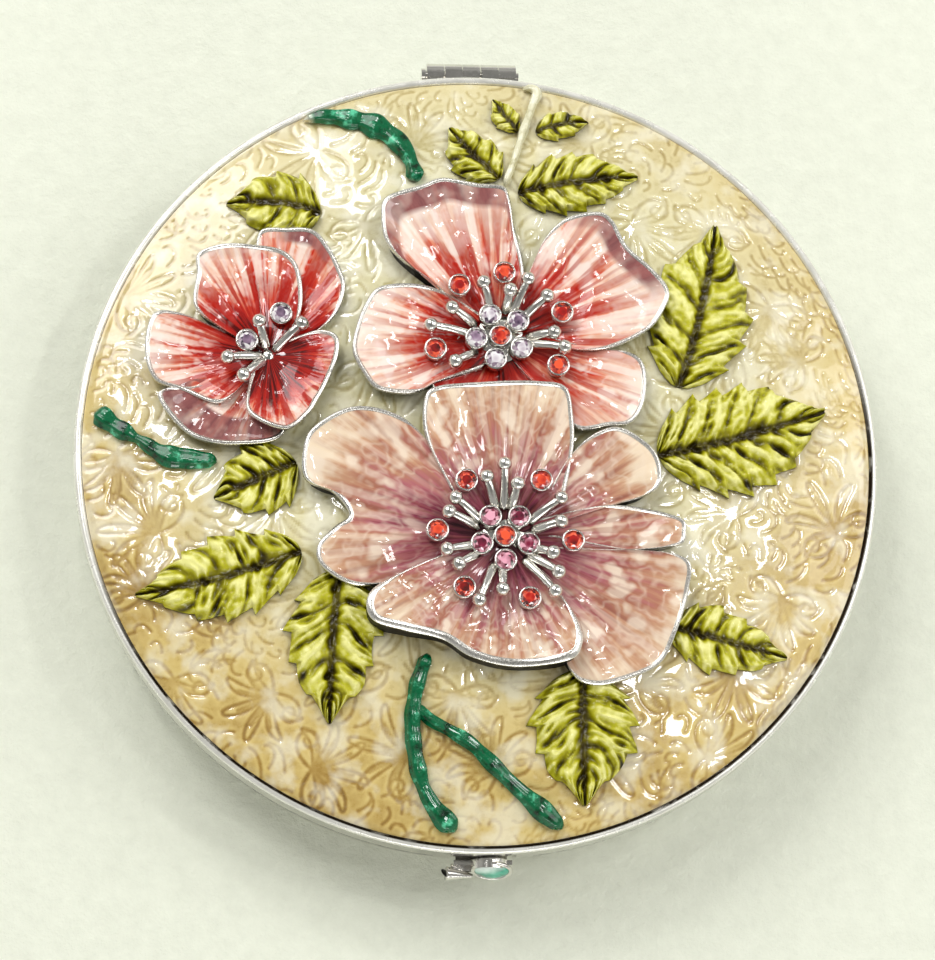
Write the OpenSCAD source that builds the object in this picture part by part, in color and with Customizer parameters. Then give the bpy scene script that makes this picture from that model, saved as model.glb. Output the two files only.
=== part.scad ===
// Round hinged pill box. Its enamelled lid carries three flowers, leaves and stems in high relief.
// Millimetres. +Z is up, and the box lies shut on its base. The origin is the centre of the face it
// rests on. +Y is the hinge side, -Y the catch side and +X the right.

/* [Base pan] */
// Height of the pan
base_h = 7; // [6.4:0.1:10]
// Thickness of the pan's wall and floor
base_wall = 1; // [0.8:0.1:1.2]
// Radius that rounds the pan's wall into its floor
base_round = 6.7; // [4:0.1:8]
// How far the pan stands back from the lid's edge
rim_step = 0.1; // [0.05:0.05:0.3]

/* [Lid] */
// Outer radius of the lid
lid_r = 35; // [29:0.5:42]
// Slit between the shut lid and the pan
lid_gap = 0.25; // [0.15:0.05:0.4]
// Height of the lid's upright skirt
lid_skirt = 2.35; // [2:0.05:3]
// Wall thickness of the skirt
lid_wall = 1.2; // [1:0.1:1.5]
// Rise of the lid's dome above its edge
dome_rise = 3.6; // [2.5:0.1:5]
// Metal thickness of the dome
dome_metal = 0.7; // [0.5:0.1:1]
// Thickness of the enamel
enamel_t = 0.5; // [0.3:0.05:0.6]
// Width of the bright lip round the enamel
lip_w = 0.7; // [0.4:0.05:1]
// Height of the lip above the enamel's edge
lip_h = 0.1; // [0.05:0.05:0.2]

/* [Hinge] */
// Outer radius of the barrel
barrel_r = 1.1; // [0.9:0.05:1.4]
// Length of the barrel
barrel_len = 8.1; // [6:0.1:12]
// Number of knuckles, an odd number
knuckles = 5; // [3:2:7]
// Radius of the hinge pin
pin_r = 0.46; // [0.3:0.02:0.6]
// Radial clearance of the pin in its bores
pin_fit = 0.04; // [0.02:0.01:0.08]
// Clearance between neighbouring knuckles
knuckle_gap = 0.08; // [0.04:0.02:0.2]
// Thickness of the two leaves
hinge_leaf_t = 0.4; // [0.3:0.05:0.6]
// Distance of the axis outside the lid's edge
hinge_out = 1; // [0.8:0.1:1.4]

/* [Catch] */
// How far the thumb piece is pushed in
catch_travel = 0.5; // [0.3:0.05:0.8]
// Clearance round the sliding plate
catch_fit = 0.15; // [0.1:0.05:0.25]
// Thickness of the sliding plate
catch_plate_t = 0.6; // [0.4:0.05:0.8]
// Width of the thumb piece
thumb_w = 5; // [4:0.1:7]
// Radius of the round stone in the thumb piece
thumb_stone_r = 1.3; // [1:0.05:1.5]
// Width of the lid's tongue
tongue_w = 3.2; // [2.4:0.1:4]
// Thickness of the lid's tongue
tongue_t = 0.6; // [0.4:0.05:0.8]

/* [Pill tray] */
// Number of compartments round the middle one
tray_sectors = 6; // [3:1:8]
// Wall thickness of the tray
tray_wall = 0.8; // [0.6:0.1:1.2]
// Clearance between the tray and the pan
tray_gap = 0.15; // [0.1:0.05:0.3]
// Inner radius of the middle compartment
tray_hub_r = 9; // [6:0.5:11]

/* [Mirror] */
// Thickness of the mirror
mirror_t = 0.85; // [0.7:0.05:1]
// Margin between the skirt and the mirror's edge
mirror_margin = 2.8; // [2.4:0.1:4]
// How far the ring laps over the mirror
mirror_lap = 0.8; // [0.5:0.1:1.5]

/* [Relief] */
// Thickness of a petal
petal_t = 0.6; // [0.4:0.05:0.8]
// How far a petal's end stands off the dome
petal_lift = 1.5; // [1:0.1:2.5]
// Thickness of a leaf at its fullest
leaf_t = 0.9; // [0.6:0.05:1.2]
// Height of a stem above the dome
stem_t = 1.1; // [0.6:0.05:1.4]
// Gap that solder fills between the relief and the dome
relief_gap = 0.04; // [0.03:0.01:0.08]

/* [Crystals and stamens] */
// Radius of a crystal
crystal_r = 0.8; // [0.6:0.05:1]
// Wall of the cup that holds a crystal
cup_wall = 0.16; // [0.1:0.02:0.25]
// Height of a cup
cup_h = 0.8; // [0.6:0.05:1.2]
// Radius of the bead on a stamen
bead_r = 0.42; // [0.3:0.02:0.5]
// Radius of a stamen's filament
filament_r = 0.22; // [0.14:0.02:0.3]

/* [Hidden] */

round_fn = 180;
ball_fn = 360;
small_fn = 48;
cut = 1;

base_r = lid_r - rim_step;
pan_round = min(base_round, base_h - 0.3);
pan_flat_r = base_r - pan_round;
lid_z = base_h + lid_gap;
rim_z = lid_z + lid_skirt;
enamel_r = lid_r - lip_w;
lip_gap = 0.03;
dome_top_z = rim_z + dome_rise;
dome_R = (enamel_r * enamel_r + dome_rise * dome_rise) / (2 * dome_rise);
dome_cz = dome_top_z - dome_R;
skirt_r = lid_r - lid_wall;

hinge_y = lid_r + hinge_out;
hinge_z = base_h + lid_gap / 2;
knuckle_pitch = barrel_len / knuckles;
hinge_clear_r = barrel_r + 0.15;
leaf_back_y = hinge_y - barrel_r + 0.1 - hinge_leaf_t;
base_leaf_drop = 2;

// Catch, measured outwards from the axis of the box
recess_d = base_r - 0.5;
thumb_in_d = recess_d + catch_travel + 0.2;
thumb_plate_t = 0.4;
recess_w = thumb_w + 0.5;
plate_z = base_h - 2;
stone_z = plate_z + 1.7;
stone_x = 0.5;
bezel_r = thumb_stone_r + 0.3;
bezel_h = 0.4;
neck_w = 4.4;
plate_w = 6.4;
window_w = tongue_w + 0.6;
tongue_d = base_r - 2.9;
window_out_d = tongue_d + catch_travel + 0.4;
barb_reach = 0.65;
barb_h = 0.55;
window_in_d = tongue_d - tongue_t - barb_reach - catch_fit;
crossbar_t = 1;
plate_in_d = window_in_d - crossbar_t;
plate_out_d = window_out_d + 0.3;
spring_t = 0.25;
spring_front_d = plate_in_d - catch_travel - 0.05;
spring_bow = 0.9;
spring_back_d = spring_front_d - spring_bow - spring_t;
housing_wall = 0.5;
housing_back_d = spring_back_d - housing_wall - 0.05;
housing_w = plate_w + 4 * housing_wall;

tray_flat_d = housing_back_d - 0.3;
tray_top_z = base_h - 0.2;

mirror_r = skirt_r - mirror_margin;
mirror_z = lid_z + 0.5;
ring_foot_t = 0.4;
backing_t = 0.35;

// Relief is laid out on a lid whose enamel has this radius, and follows the real one
layout_enamel_r = 34.3;
art_k = enamel_r / layout_enamel_r;

cup_r = crystal_r + 0.04 + cup_wall;
cup_floor = 0.2;
ring_r = 2 * cup_r + 0.1;
hub_r = ring_r + cup_r + 0.4;
hub_h = 0.3;
bead_z = 2.1;
seat_gap = 0.06;

// A flower is [x, y, reach, petals]. A petal is [direction, length, half of its spread].
front_petals = [
  [88, 13.8, 31], [32, 14.4, 25], [6, 15, 9], [328, 16.6, 33],
  [252, 12.4, 50], [188, 15.4, 19], [153, 18, 27]
];
front_plan = [1.6, -8.6, 16, front_petals];
middle_petals = [[112, 15, 33], [30, 15, 38], [331, 12.8, 20], [268, 4.4, 42], [180, 12.4, 34]];
middle_plan = [1.5, 9.2, 15, middle_petals];
side_petals = [[103, 10.8, 32], [58, 11.4, 30], [335, 6.4, 45], [226, 9.2, 40], [172, 10.4, 28]];
side_plan = [-18.4, 7.7, 11, side_petals];

front_outer_cups = [[356, 5.8], [57, 5.8], [124, 5.8], [176, 5.8], [232, 5.8], [290, 5.8]];
middle_outer_cups = [[22, 5.8], [86, 5.7], [128, 5.7], [193, 5.8], [332, 5.6]];
side_outer_cups = [[74, 3.7], [149, 2.2]];
front_ring_turn = 54;
middle_ring_turn = 42;

// Stamens are [direction, reach]
front_filaments = [
  [90, 6.2], [76, 4.6], [34, 5.8], [107, 5.3], [143, 5.3], [158, 5.2], [195, 5.2],
  [213, 4.8], [248, 6.2], [266, 4.8], [324, 5.5], [310, 6.4], [14, 4.9], [339, 4.3]
];
middle_filaments = [
  [151, 4.8], [173, 6.1], [107, 4.9], [78, 4.1], [64, 5.6], [41, 5.4], [3, 4.6], [349, 5.6],
  [212, 4.7]
];
side_filaments = [[108, 2.8], [42, 3.75], [190, 3.6], [225, 3.1]];

// The surface that the relief stands on
function dome_z(x, y) = dome_cz + sqrt(dome_R * dome_R - x * x - y * y);
function stand_z(x, y) =
  relief_gap + (norm([x, y]) > enamel_r - 0.3 ? max(dome_z(x, y), rim_z + lip_h) : dome_z(x, y));

// Height of a petal's underside at radius r, in the flower's own frame
function petal_under(r, reach) =
  relief_gap - r * r / (2 * dome_R) + petal_lift * pow(r / reach, 2);

function petal_edge(a, petal) =
  let (off = abs((a - petal[0] + 540) % 360 - 180) / petal[2])
  off < 1 ? petal[1] * pow(1 - pow(off, 4), 0.4) : 0;
function flower_edge(a, petals, core) = max(core, max([for (p = petals) petal_edge(a, p)]));

function on_line(pts, i) = pts[min(max(i, 0), len(pts) - 1)];
function spline_at(a, b, c, d, t) =
  0.5 * (2 * b + (c - a) * t + (2 * a - 5 * b + 4 * c - d) * t * t
  + (3 * b - a - 3 * c + d) * t * t * t);
function smooth_line(pts, steps) = [
  for (i = [0:len(pts) - 2], s = [0:steps - 1])
    spline_at(on_line(pts, i - 1), pts[i], pts[i + 1], on_line(pts, i + 2), s / steps),
  pts[len(pts) - 1]
];
function along(line, i) = let (v = on_line(line, i + 1) - on_line(line, i - 1)) v / norm(v);
function across(line, i) = let (v = along(line, i)) [-v[1], v[0]];
function two_triangles(a, b, c, d) = [[a, b, c], [a, c, d]];
function flat(lists) = [for (l = lists, v = l) v];

module ring_cylinder(r_out, r_in, h) {
  difference() {
    cylinder(r = r_out, h = h, $fn = round_fn);
    translate([0, 0, -cut]) cylinder(r = r_in, h = h + 2 * cut, $fn = round_fn);
  }
}

// A box given by its middle in x, its two distances to the front and its two heights
module front_block(x, w, d0, d1, z0, z1) {
  translate([x - w / 2, -d1, z0]) cube([w, d1 - d0, z1 - z0]);
}

// The pan's outer shape, brought in by inset, up to the height top
module pan_solid(inset, top) {
  rotate_extrude($fn = round_fn) intersection() {
    union() {
      square([pan_flat_r, top]);
      translate([pan_flat_r, pan_round]) circle(r = pan_round - inset, $fn = round_fn);
      translate([0, pan_round]) square([base_r - inset, top - pan_round]);
    }
    translate([0, inset]) square([base_r - inset, top - inset]);
  }
}

// A ball concentric with the dome and sunk below its surface by depth
module dome_ball(depth) {
  translate([0, 0, dome_cz]) sphere(r = dome_R - depth, $fn = ball_fn);
}

// Puts its children on the dome at x, y with their own z axis along the dome's normal
module on_dome(x, y) {
  tilt = asin(norm([x, y]) / dome_R);
  translate([x, y, dome_z(x, y)]) rotate(a = tilt, v = [-y, x, 0]) children();
}

module flower_place(plan) {
  on_dome(plan[0] * art_k, plan[1] * art_k) children();
}

// ---- base ----

module hinge_bands(first, r) {
  for (i = [first:2:knuckles - 1])
    translate([-barrel_len / 2 + i * knuckle_pitch - knuckle_gap / 2, hinge_y, hinge_z])
      rotate([0, 90, 0]) cylinder(r = r, h = knuckle_pitch + knuckle_gap, $fn = small_fn);
}

module base_shell() {
  color("silver") difference() {
    pan_solid(0, base_h);
    pan_solid(base_wall, base_h + cut);
    // flat for the hinge leaf
    translate([-barrel_len / 2 - 0.05, leaf_back_y, base_h - base_leaf_drop - 0.5])
      cube([barrel_len + 0.1, 5, base_h]);
    // recess behind the thumb piece, and the slot that its neck runs in
    front_block(0, recess_w, recess_d, lid_r + cut, 0, base_h + cut);
    front_block(0, neck_w + 2 * catch_fit, recess_d - 3, lid_r + cut,
      plate_z - catch_fit, plate_z + catch_plate_t + catch_fit);
  }
}

module tray_cut(inset) {
  intersection() {
    pan_solid(base_wall + tray_gap + inset, tray_top_z + (inset > 0 ? cut : 0));
    translate([-lid_r, -tray_flat_d + inset, -cut]) cube([2 * lid_r, 2 * lid_r, 3 * base_h]);
  }
}

// One pocket of the tray in plan, its sides half a wall from the lines between the compartments
module tray_sector() {
  half = 180 / tray_sectors;
  tip = tray_wall / 2 / sin(half);
  far = 2 * base_r;
  difference() {
    polygon([[tip, 0], [far, (tip - far) * -tan(half)], [far, (tip - far) * tan(half)]]);
    circle(r = tray_hub_r + tray_wall, $fn = round_fn);
  }
}

module pill_tray() {
  floor_z = base_wall + tray_gap + tray_wall;
  color("ivory") difference() {
    tray_cut(0);
    translate([0, 0, floor_z]) cylinder(r = tray_hub_r, h = base_h, $fn = round_fn);
    for (i = [0:tray_sectors - 1]) intersection() {
      tray_cut(tray_wall);
      rotate(i * 360 / tray_sectors) translate([0, 0, floor_z - cut])
        linear_extrude(base_h) tray_sector();
    }
  }
}

module latch_housing() {
  slot_z0 = plate_z - catch_fit;
  slot_z1 = plate_z + catch_plate_t + catch_fit;
  top_z = slot_z1 + housing_wall;
  shaft_w = window_w - 0.2;
  color("gray") difference() {
    intersection() {
      front_block(0, housing_w, housing_back_d, base_r, base_wall + 0.02, top_z);
      pan_solid(base_wall + 0.1, base_h);
    }
    front_block(0, plate_w + 2 * catch_fit, spring_back_d - 0.05, base_r, slot_z0, slot_z1);
    front_block(0, shaft_w, window_in_d - catch_travel - 0.1, base_r, slot_z0 - barb_h - 0.9, top_z + cut);
  }
}

// A bowed leaf spring, whose crown meets the plate when the thumb piece is pushed right in
module latch_spring() {
  half = plate_w / 2;
  bow_r = (half * half + spring_bow * spring_bow) / (2 * spring_bow);
  color("dimgray") intersection() {
    translate([0, -spring_front_d + bow_r, plate_z]) difference() {
      cylinder(r = bow_r, h = catch_plate_t, $fn = round_fn);
      translate([0, 0, -cut]) cylinder(r = bow_r - spring_t, h = catch_plate_t + 2 * cut, $fn = round_fn);
    }
    front_block(0, plate_w, spring_back_d, spring_front_d + cut, 0, base_h);
  }
}

// ---- thumb piece ----

module latch_button() {
  roll_r = 0.5;
  roll_end_r = 0.2;
  roll_x = -thumb_w / 2 - 0.1;
  color("silver") difference() {
    union() {
      front_block(0, plate_w, plate_in_d, plate_out_d, plate_z, plate_z + catch_plate_t);
      front_block(0, neck_w, plate_out_d - 0.2, thumb_in_d + 0.2, plate_z, plate_z + catch_plate_t);
      front_block(0, thumb_w, thumb_in_d, thumb_in_d + thumb_plate_t, plate_z - 0.2, stone_z + 0.4);
      translate([stone_x, -thumb_in_d, stone_z]) rotate([90, 0, 0])
        cylinder(r = bezel_r, h = thumb_plate_t + bezel_h, $fn = small_fn);
      translate([roll_x, -thumb_in_d - roll_r, plate_z + 0.3]) rotate([0, 90, 0])
        cylinder(r1 = roll_r, r2 = roll_end_r, h = thumb_w * 0.7, $fn = small_fn);
    }
    front_block(0, window_w, window_in_d, window_out_d, 0, base_h);
    translate([stone_x, -thumb_in_d - thumb_plate_t, stone_z]) rotate([90, 0, 0])
      cylinder(r = thumb_stone_r + 0.04, h = bezel_h + cut, $fn = small_fn);
  }
}

module latch_stone() {
  crown = 0.75;
  cap_r = (thumb_stone_r * thumb_stone_r + crown * crown) / (2 * crown);
  color("teal") translate([stone_x, -thumb_in_d - thumb_plate_t - 0.02, stone_z]) rotate([90, 0, 0])
    intersection() {
      cylinder(r = thumb_stone_r, h = crown, $fn = small_fn);
      translate([0, 0, crown - cap_r]) sphere(r = cap_r, $fn = small_fn);
    }
}

// ---- hinge ----

// The knuckles that start at number first, each webbed to the leaf on the side given by up
module hinge_knuckles(first, up) {
  web_h = barrel_r + 0.4;
  for (i = [first:2:knuckles - 1]) {
    x = -barrel_len / 2 + i * knuckle_pitch + knuckle_gap / 2;
    w = knuckle_pitch - knuckle_gap;
    translate([x, hinge_y, hinge_z]) rotate([0, 90, 0]) cylinder(r = barrel_r, h = w, $fn = small_fn);
    translate([x, leaf_back_y, hinge_z + (up > 0 ? lid_gap : -lid_gap - web_h)])
      cube([w, hinge_y - leaf_back_y, web_h]);
  }
}

module pin_bore() {
  translate([-barrel_len / 2 - cut, hinge_y, hinge_z]) rotate([0, 90, 0])
    cylinder(r = pin_r + pin_fit, h = barrel_len + 2 * cut, $fn = small_fn);
}

module hinge_base_leaf() {
  color("silver") difference() {
    union() {
      hinge_knuckles(0, -1);
      difference() {
        translate([-barrel_len / 2, leaf_back_y, base_h - base_leaf_drop])
          cube([barrel_len, hinge_leaf_t, base_leaf_drop - 0.1]);
        hinge_bands(1, hinge_clear_r);
      }
    }
    pin_bore();
  }
}

module hinge_lid_leaf() {
  color("silver") difference() {
    union() {
      hinge_knuckles(1, 1);
      difference() {
        translate([-barrel_len / 2, leaf_back_y, lid_z + 0.1])
          cube([barrel_len, hinge_leaf_t, lid_skirt - 0.4]);
        hinge_bands(0, hinge_clear_r);
      }
    }
    pin_bore();
  }
}

module hinge_pin() {
  head_r = 0.66;
  head_h = 0.35;
  color("silver") translate([-barrel_len / 2 - 0.05, hinge_y, hinge_z]) rotate([0, 90, 0]) union() {
    cylinder(r = pin_r, h = barrel_len + 0.3, $fn = small_fn);
    translate([0, 0, -head_h]) cylinder(r = head_r, h = head_h, $fn = small_fn);
  }
}

// ---- lid ----

module lid_band() {
  rotate_extrude($fn = round_fn) union() {
    translate([skirt_r - 1, lid_z]) square([lid_wall + 1, lid_skirt - enamel_t]);
    translate([enamel_r + lip_gap, rim_z - enamel_t - 0.1])
      square([lid_r - enamel_r - lip_gap, enamel_t + lip_h - 0.2]);
    translate([(lid_r + enamel_r + lip_gap) / 2, rim_z + lip_h - (lid_r - enamel_r - lip_gap) / 2])
      circle(r = (lid_r - enamel_r - lip_gap) / 2, $fn = small_fn);
  }
}

module lid_shell() {
  color("silver") difference() {
    union() {
      lid_band();
      intersection() {
        translate([0, 0, lid_z]) cylinder(r = enamel_r + lip_w / 2, h = 3 * dome_rise, $fn = round_fn);
        dome_ball(enamel_t);
      }
    }
    intersection() {
      translate([0, 0, lid_z - cut]) cylinder(r = skirt_r, h = 3 * dome_rise, $fn = round_fn);
      dome_ball(enamel_t + dome_metal);
    }
    translate([-barrel_len / 2 - 0.05, leaf_back_y, lid_z - cut])
      cube([barrel_len + 0.1, 5, lid_skirt - 0.3 + cut]);
    hinge_bands(0, hinge_clear_r);
    front_block(0, recess_w, recess_d, lid_r + cut, lid_z - cut, stone_z + bezel_r + 0.15);
  }
}

module enamel_panel() {
  color("wheat") intersection() {
    difference() {
      dome_ball(0);
      dome_ball(enamel_t - 0.01);
    }
    translate([0, 0, lid_z]) cylinder(r = enamel_r, h = 3 * dome_rise, $fn = round_fn);
  }
}

// The tongue comes down through the window of the sliding plate, and its barb lies under the plate
module lid_catch() {
  foot_z = lid_z + 0.65;
  barb_z = plate_z - catch_fit - barb_h;
  color("silver") union() {
    front_block(0, tongue_w, tongue_d - tongue_t, tongue_d, barb_z, foot_z + 0.4);
    front_block(0, tongue_w, tongue_d - tongue_t - barb_reach, tongue_d - 0.1, barb_z, barb_z + barb_h);
    front_block(0, tongue_w, tongue_d - 0.1, skirt_r - 0.1, foot_z, foot_z + 0.4);
  }
}

module mirror() {
  color("lightblue") translate([0, 0, mirror_z]) cylinder(r = mirror_r, h = mirror_t, $fn = round_fn);
}

module mirror_backing() {
  color("dimgray") translate([0, 0, mirror_z + mirror_t + 0.02])
    cylinder(r = mirror_r - 1.4, h = backing_t, $fn = round_fn);
}

module mirror_ring() {
  foot_z = mirror_z - ring_foot_t - 0.05;
  color("silver") difference() {
    union() {
      translate([0, 0, foot_z])
        ring_cylinder(skirt_r - 0.1, mirror_r - mirror_lap, ring_foot_t);
      translate([0, 0, foot_z])
        ring_cylinder(skirt_r - 0.1, mirror_r + 0.15, ring_foot_t + 0.6);
    }
    front_block(0, tongue_w + 1, mirror_r - mirror_lap - cut, lid_r, 0, rim_z);
  }
}

// ---- flowers ----

// A dish of petals with its own origin on the dome. Rings of points run from the middle to the edge.
module flower(plan) {
  turns = 64;
  rings = 4;
  reach = plan[2] * art_k;
  core = 3.4 * art_k;
  step = 360 / turns;
  edge = [for (i = [0:turns - 1]) flower_edge(i * step, plan[3], core / art_k) * art_k];
  level = function (r, top) petal_under(r, reach) + (top ? petal_t : 0);
  points = concat(
    [[0, 0, level(0, true)], [0, 0, level(0, false)]],
    [for (k = [1:rings], i = [0:turns - 1], top = [true, false])
      let (r = edge[i] * k / rings) [r * cos(i * step), r * sin(i * step), level(r, top)]]
  );
  at = function (k, i, side) 2 + 2 * ((k - 1) * turns + i % turns) + side;
  faces = concat(
    [for (i = [0:turns - 1]) [0, at(1, i + 1, 0), at(1, i, 0)]],
    [for (i = [0:turns - 1]) [1, at(1, i, 1), at(1, i + 1, 1)]],
    flat([for (k = [1:rings - 1], i = [0:turns - 1])
      two_triangles(at(k, i, 0), at(k, i + 1, 0), at(k + 1, i + 1, 0), at(k + 1, i, 0))]),
    flat([for (k = [1:rings - 1], i = [0:turns - 1])
      two_triangles(at(k + 1, i, 1), at(k + 1, i + 1, 1), at(k, i + 1, 1), at(k, i, 1))]),
    flat([for (i = [0:turns - 1])
      two_triangles(at(rings, i, 0), at(rings, i + 1, 0), at(rings, i + 1, 1), at(rings, i, 1))])
  );
  flower_place(plan) polyhedron(points = points, faces = faces);
}

module front_flower() {
  color("rosybrown") flower(front_plan);
}

module middle_flower() {
  color("indianred") flower(middle_plan);
}

module side_flower() {
  color("firebrick") flower(side_plan);
}

// Top of a petal under anything that reaches out to radius r
function petal_top(plan, r) = petal_under(r, plan[2] * art_k) + petal_t + seat_gap;

// A hub disc with filaments that rise from its edge to their beads
module stamens(plan, filaments, disc_r) {
  hub_z = petal_top(plan, disc_r);
  rise_z = hub_z + hub_h;
  color("silver") flower_place(plan) union() {
    translate([0, 0, hub_z]) cylinder(r = disc_r, h = hub_h, $fn = small_fn);
    for (f = filaments) {
      start = disc_r - 0.15;
      run = f[1] * art_k - start;
      lift = bead_z - rise_z;
      rotate(f[0]) translate([start, 0, rise_z]) union() {
        rotate([0, atan2(run, lift), 0])
          cylinder(r = filament_r, h = norm([run, lift]), $fn = 24);
        translate([run, 0, lift]) sphere(r = bead_r, $fn = 32);
      }
    }
  }
}

module front_stamens() {
  stamens(front_plan, front_filaments, hub_r);
}

module middle_stamens() {
  stamens(middle_plan, middle_filaments, hub_r);
}

module side_stamens() {
  stamens(side_plan, side_filaments, 0.9);
}

// Heights of the cups that stand on the hub and on the petals
function hub_cup_z(plan) = petal_top(plan, hub_r) + hub_h + 0.02;
function outer_cup_z(plan, spot) = petal_top(plan, spot[1] * art_k + cup_r);

// Puts its children at the middle cup and the five cups round it
module hub_spots(plan, turn, ring_only) {
  flower_place(plan) union() {
    if (!ring_only) translate([0, 0, hub_cup_z(plan)]) children();
    if (ring_only) for (i = [0:4]) rotate(turn + 72 * i) translate([ring_r, 0, hub_cup_z(plan)]) children();
  }
}

module outer_spots(plan, spots) {
  flower_place(plan) union() {
    for (s = spots) rotate(s[0]) translate([s[1] * art_k, 0, outer_cup_z(plan, s)]) children();
  }
}

module cup() {
  difference() {
    cylinder(r = cup_r, h = cup_h, $fn = 32);
    translate([0, 0, cup_floor]) cylinder(r = cup_r - cup_wall, h = cup_h, $fn = 32);
  }
}

// An eight-sided brilliant, set so that its girdle is level with the cup's edge
module crystal() {
  girdle_z = cup_h - 0.12;
  depth = girdle_z - cup_floor - 0.03;
  rotate_extrude($fn = 8) polygon([
    [0, girdle_z - depth], [crystal_r, girdle_z], [crystal_r, girdle_z + 0.1],
    [crystal_r * 0.55, girdle_z + 0.42], [0, girdle_z + 0.42]
  ]);
}

module front_cups() {
  color("silver") union() {
    hub_spots(front_plan, front_ring_turn, false) cup();
    hub_spots(front_plan, front_ring_turn, true) cup();
    outer_spots(front_plan, front_outer_cups) cup();
  }
}

module middle_cups() {
  color("silver") union() {
    hub_spots(middle_plan, middle_ring_turn, false) cup();
    hub_spots(middle_plan, middle_ring_turn, true) cup();
    outer_spots(middle_plan, middle_outer_cups) cup();
  }
}

module side_cups() {
  color("silver") outer_spots(side_plan, side_outer_cups) cup();
}

module red_crystals() {
  color("red") union() {
    hub_spots(front_plan, front_ring_turn, false) crystal();
    outer_spots(front_plan, front_outer_cups) crystal();
    hub_spots(middle_plan, middle_ring_turn, false) crystal();
    outer_spots(middle_plan, middle_outer_cups) crystal();
  }
}

module pink_crystals() {
  color("palevioletred") hub_spots(front_plan, front_ring_turn, true) crystal();
}

module clear_crystals() {
  color("white") union() {
    hub_spots(middle_plan, middle_ring_turn, true) crystal();
    outer_spots(side_plan, side_outer_cups) crystal();
  }
}

// ---- leaves and stems ----

// A strip that lies on the dome along a line. Half widths and heights go with the line's points,
// and crown gives the height across the strip, from one edge to the other.
module strip(line, half_widths, heights, crown) {
  rows = len(line);
  cols = len(crown);
  spot = function (i, j) line[i] + across(line, i) * half_widths[i] * (2 * j / (cols - 1) - 1);
  points = [for (top = [1, 0], i = [0:rows - 1], j = [0:cols - 1])
    let (p = spot(i, j)) [p[0], p[1], stand_z(p[0], p[1]) + top * heights[i] * crown[j]]];
  up = function (i, j) i * cols + j;
  down = function (i, j) rows * cols + i * cols + j;
  faces = concat(
    flat([for (i = [0:rows - 2], j = [0:cols - 2])
      two_triangles(up(i, j), up(i, j + 1), up(i + 1, j + 1), up(i + 1, j))]),
    flat([for (i = [0:rows - 2], j = [0:cols - 2])
      two_triangles(down(i + 1, j), down(i + 1, j + 1), down(i, j + 1), down(i, j))]),
    flat([for (i = [0:rows - 2])
      two_triangles(up(i, 0), up(i + 1, 0), down(i + 1, 0), down(i, 0))]),
    flat([for (i = [0:rows - 2])
      two_triangles(up(i + 1, cols - 1), up(i, cols - 1), down(i, cols - 1), down(i + 1, cols - 1))]),
    flat([for (j = [0:cols - 2])
      two_triangles(up(0, j + 1), up(0, j), down(0, j), down(0, j + 1))]),
    flat([for (j = [0:cols - 2])
      two_triangles(up(rows - 1, j), up(rows - 1, j + 1), down(rows - 1, j + 1), down(rows - 1, j))])
  );
  polyhedron(points = points, faces = faces);
}

// A serrated leaf, folded along its midrib, from its base to its tip. bow moves its middle sideways.
module leaf(base, tip, width, bow = 0) {
  steps = 14;
  run = tip - base;
  side = [-run[1], run[0]] / norm(run);
  line = [for (i = [0:steps]) let (t = i / steps) (base + run * t + side * bow * 4 * t * (1 - t)) * art_k];
  half_widths = [for (i = [0:steps])
    let (t = i / steps)
    art_k * max(0.08, width / 2 * pow(sin(180 * pow(t, 0.8)), 0.75) * (i % 2 == 0 ? 0.88 : 1))];
  heights = [for (i = [0:steps]) let (t = i / steps) leaf_t * (0.45 + 0.55 * sin(180 * t))];
  color("olivedrab") strip(line, half_widths, heights, [0.35, 0.9, 0.55, 0.9, 0.35]);
}

module leaf_upper_left() {
  leaf([-13.8, 21.2], [-22, 22.2], 5.6, -0.5);
}

module leaf_fern_left() {
  leaf([1.9, 24.6], [-2.4, 29.6], 4.2, 0.2);
}

module leaf_fern_top() {
  leaf([3.7, 29.4], [1.6, 32.6], 2.4, 0.1);
}

module leaf_fern_right() {
  leaf([5.4, 29.4], [10.2, 30.6], 2.8, 0.2);
}

module leaf_upper_right() {
  leaf([3.6, 23.2], [14.4, 25.2], 5.2, 0.3);
}

module leaf_right_tall() {
  leaf([17.2, 5.4], [21, 20.4], 8, -0.4);
}

module leaf_right_wide() {
  leaf([15.2, -0.9], [29.8, 3.6], 9, -0.4);
}

module leaf_lower_right() {
  leaf([15.6, -15.8], [26.2, -18.2], 5.6, 0);
}

module leaf_bottom() {
  leaf([8.2, -19.6], [8.4, -31], 9, 0);
}

module leaf_lower_left_long() {
  leaf([-15.6, -9.6], [-29.6, -13], 6.6, 0.5);
}

module leaf_lower_left_down() {
  leaf([-12.4, -11.2], [-13.2, -24.2], 7.2, -0.2);
}

module leaf_left_small() {
  leaf([-16, -1.9], [-23, -4.8], 6, 0);
}

// A round-backed stem through the given points, with a half width at each
module stem(route, half_widths, height) {
  steps = 3;
  line = smooth_line(route * art_k, steps);
  widths = smooth_line(half_widths * art_k, steps);
  heights = [for (w = widths) height * min(1, 0.35 + w)];
  strip(line, widths, heights, [0.3, 0.85, 1, 0.85, 0.3]);
}

module stem_top() {
  color("seagreen") stem(
    [[-15.8, 29.8], [-13, 30.5], [-10.4, 30.8], [-8, 29.4], [-6.4, 27.4], [-5.7, 25.6]],
    [0.2, 0.8, 1.3, 1.4, 0.8, 0.7], stem_t);
}

module stem_left() {
  color("seagreen") stem(
    [[-33, 2.8], [-30.6, 1.2], [-28.2, -0.8], [-26.4, -1.4], [-23.8, -1.4]],
    [0.8, 0.7, 0.6, 1, 0.5], stem_t);
}

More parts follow.
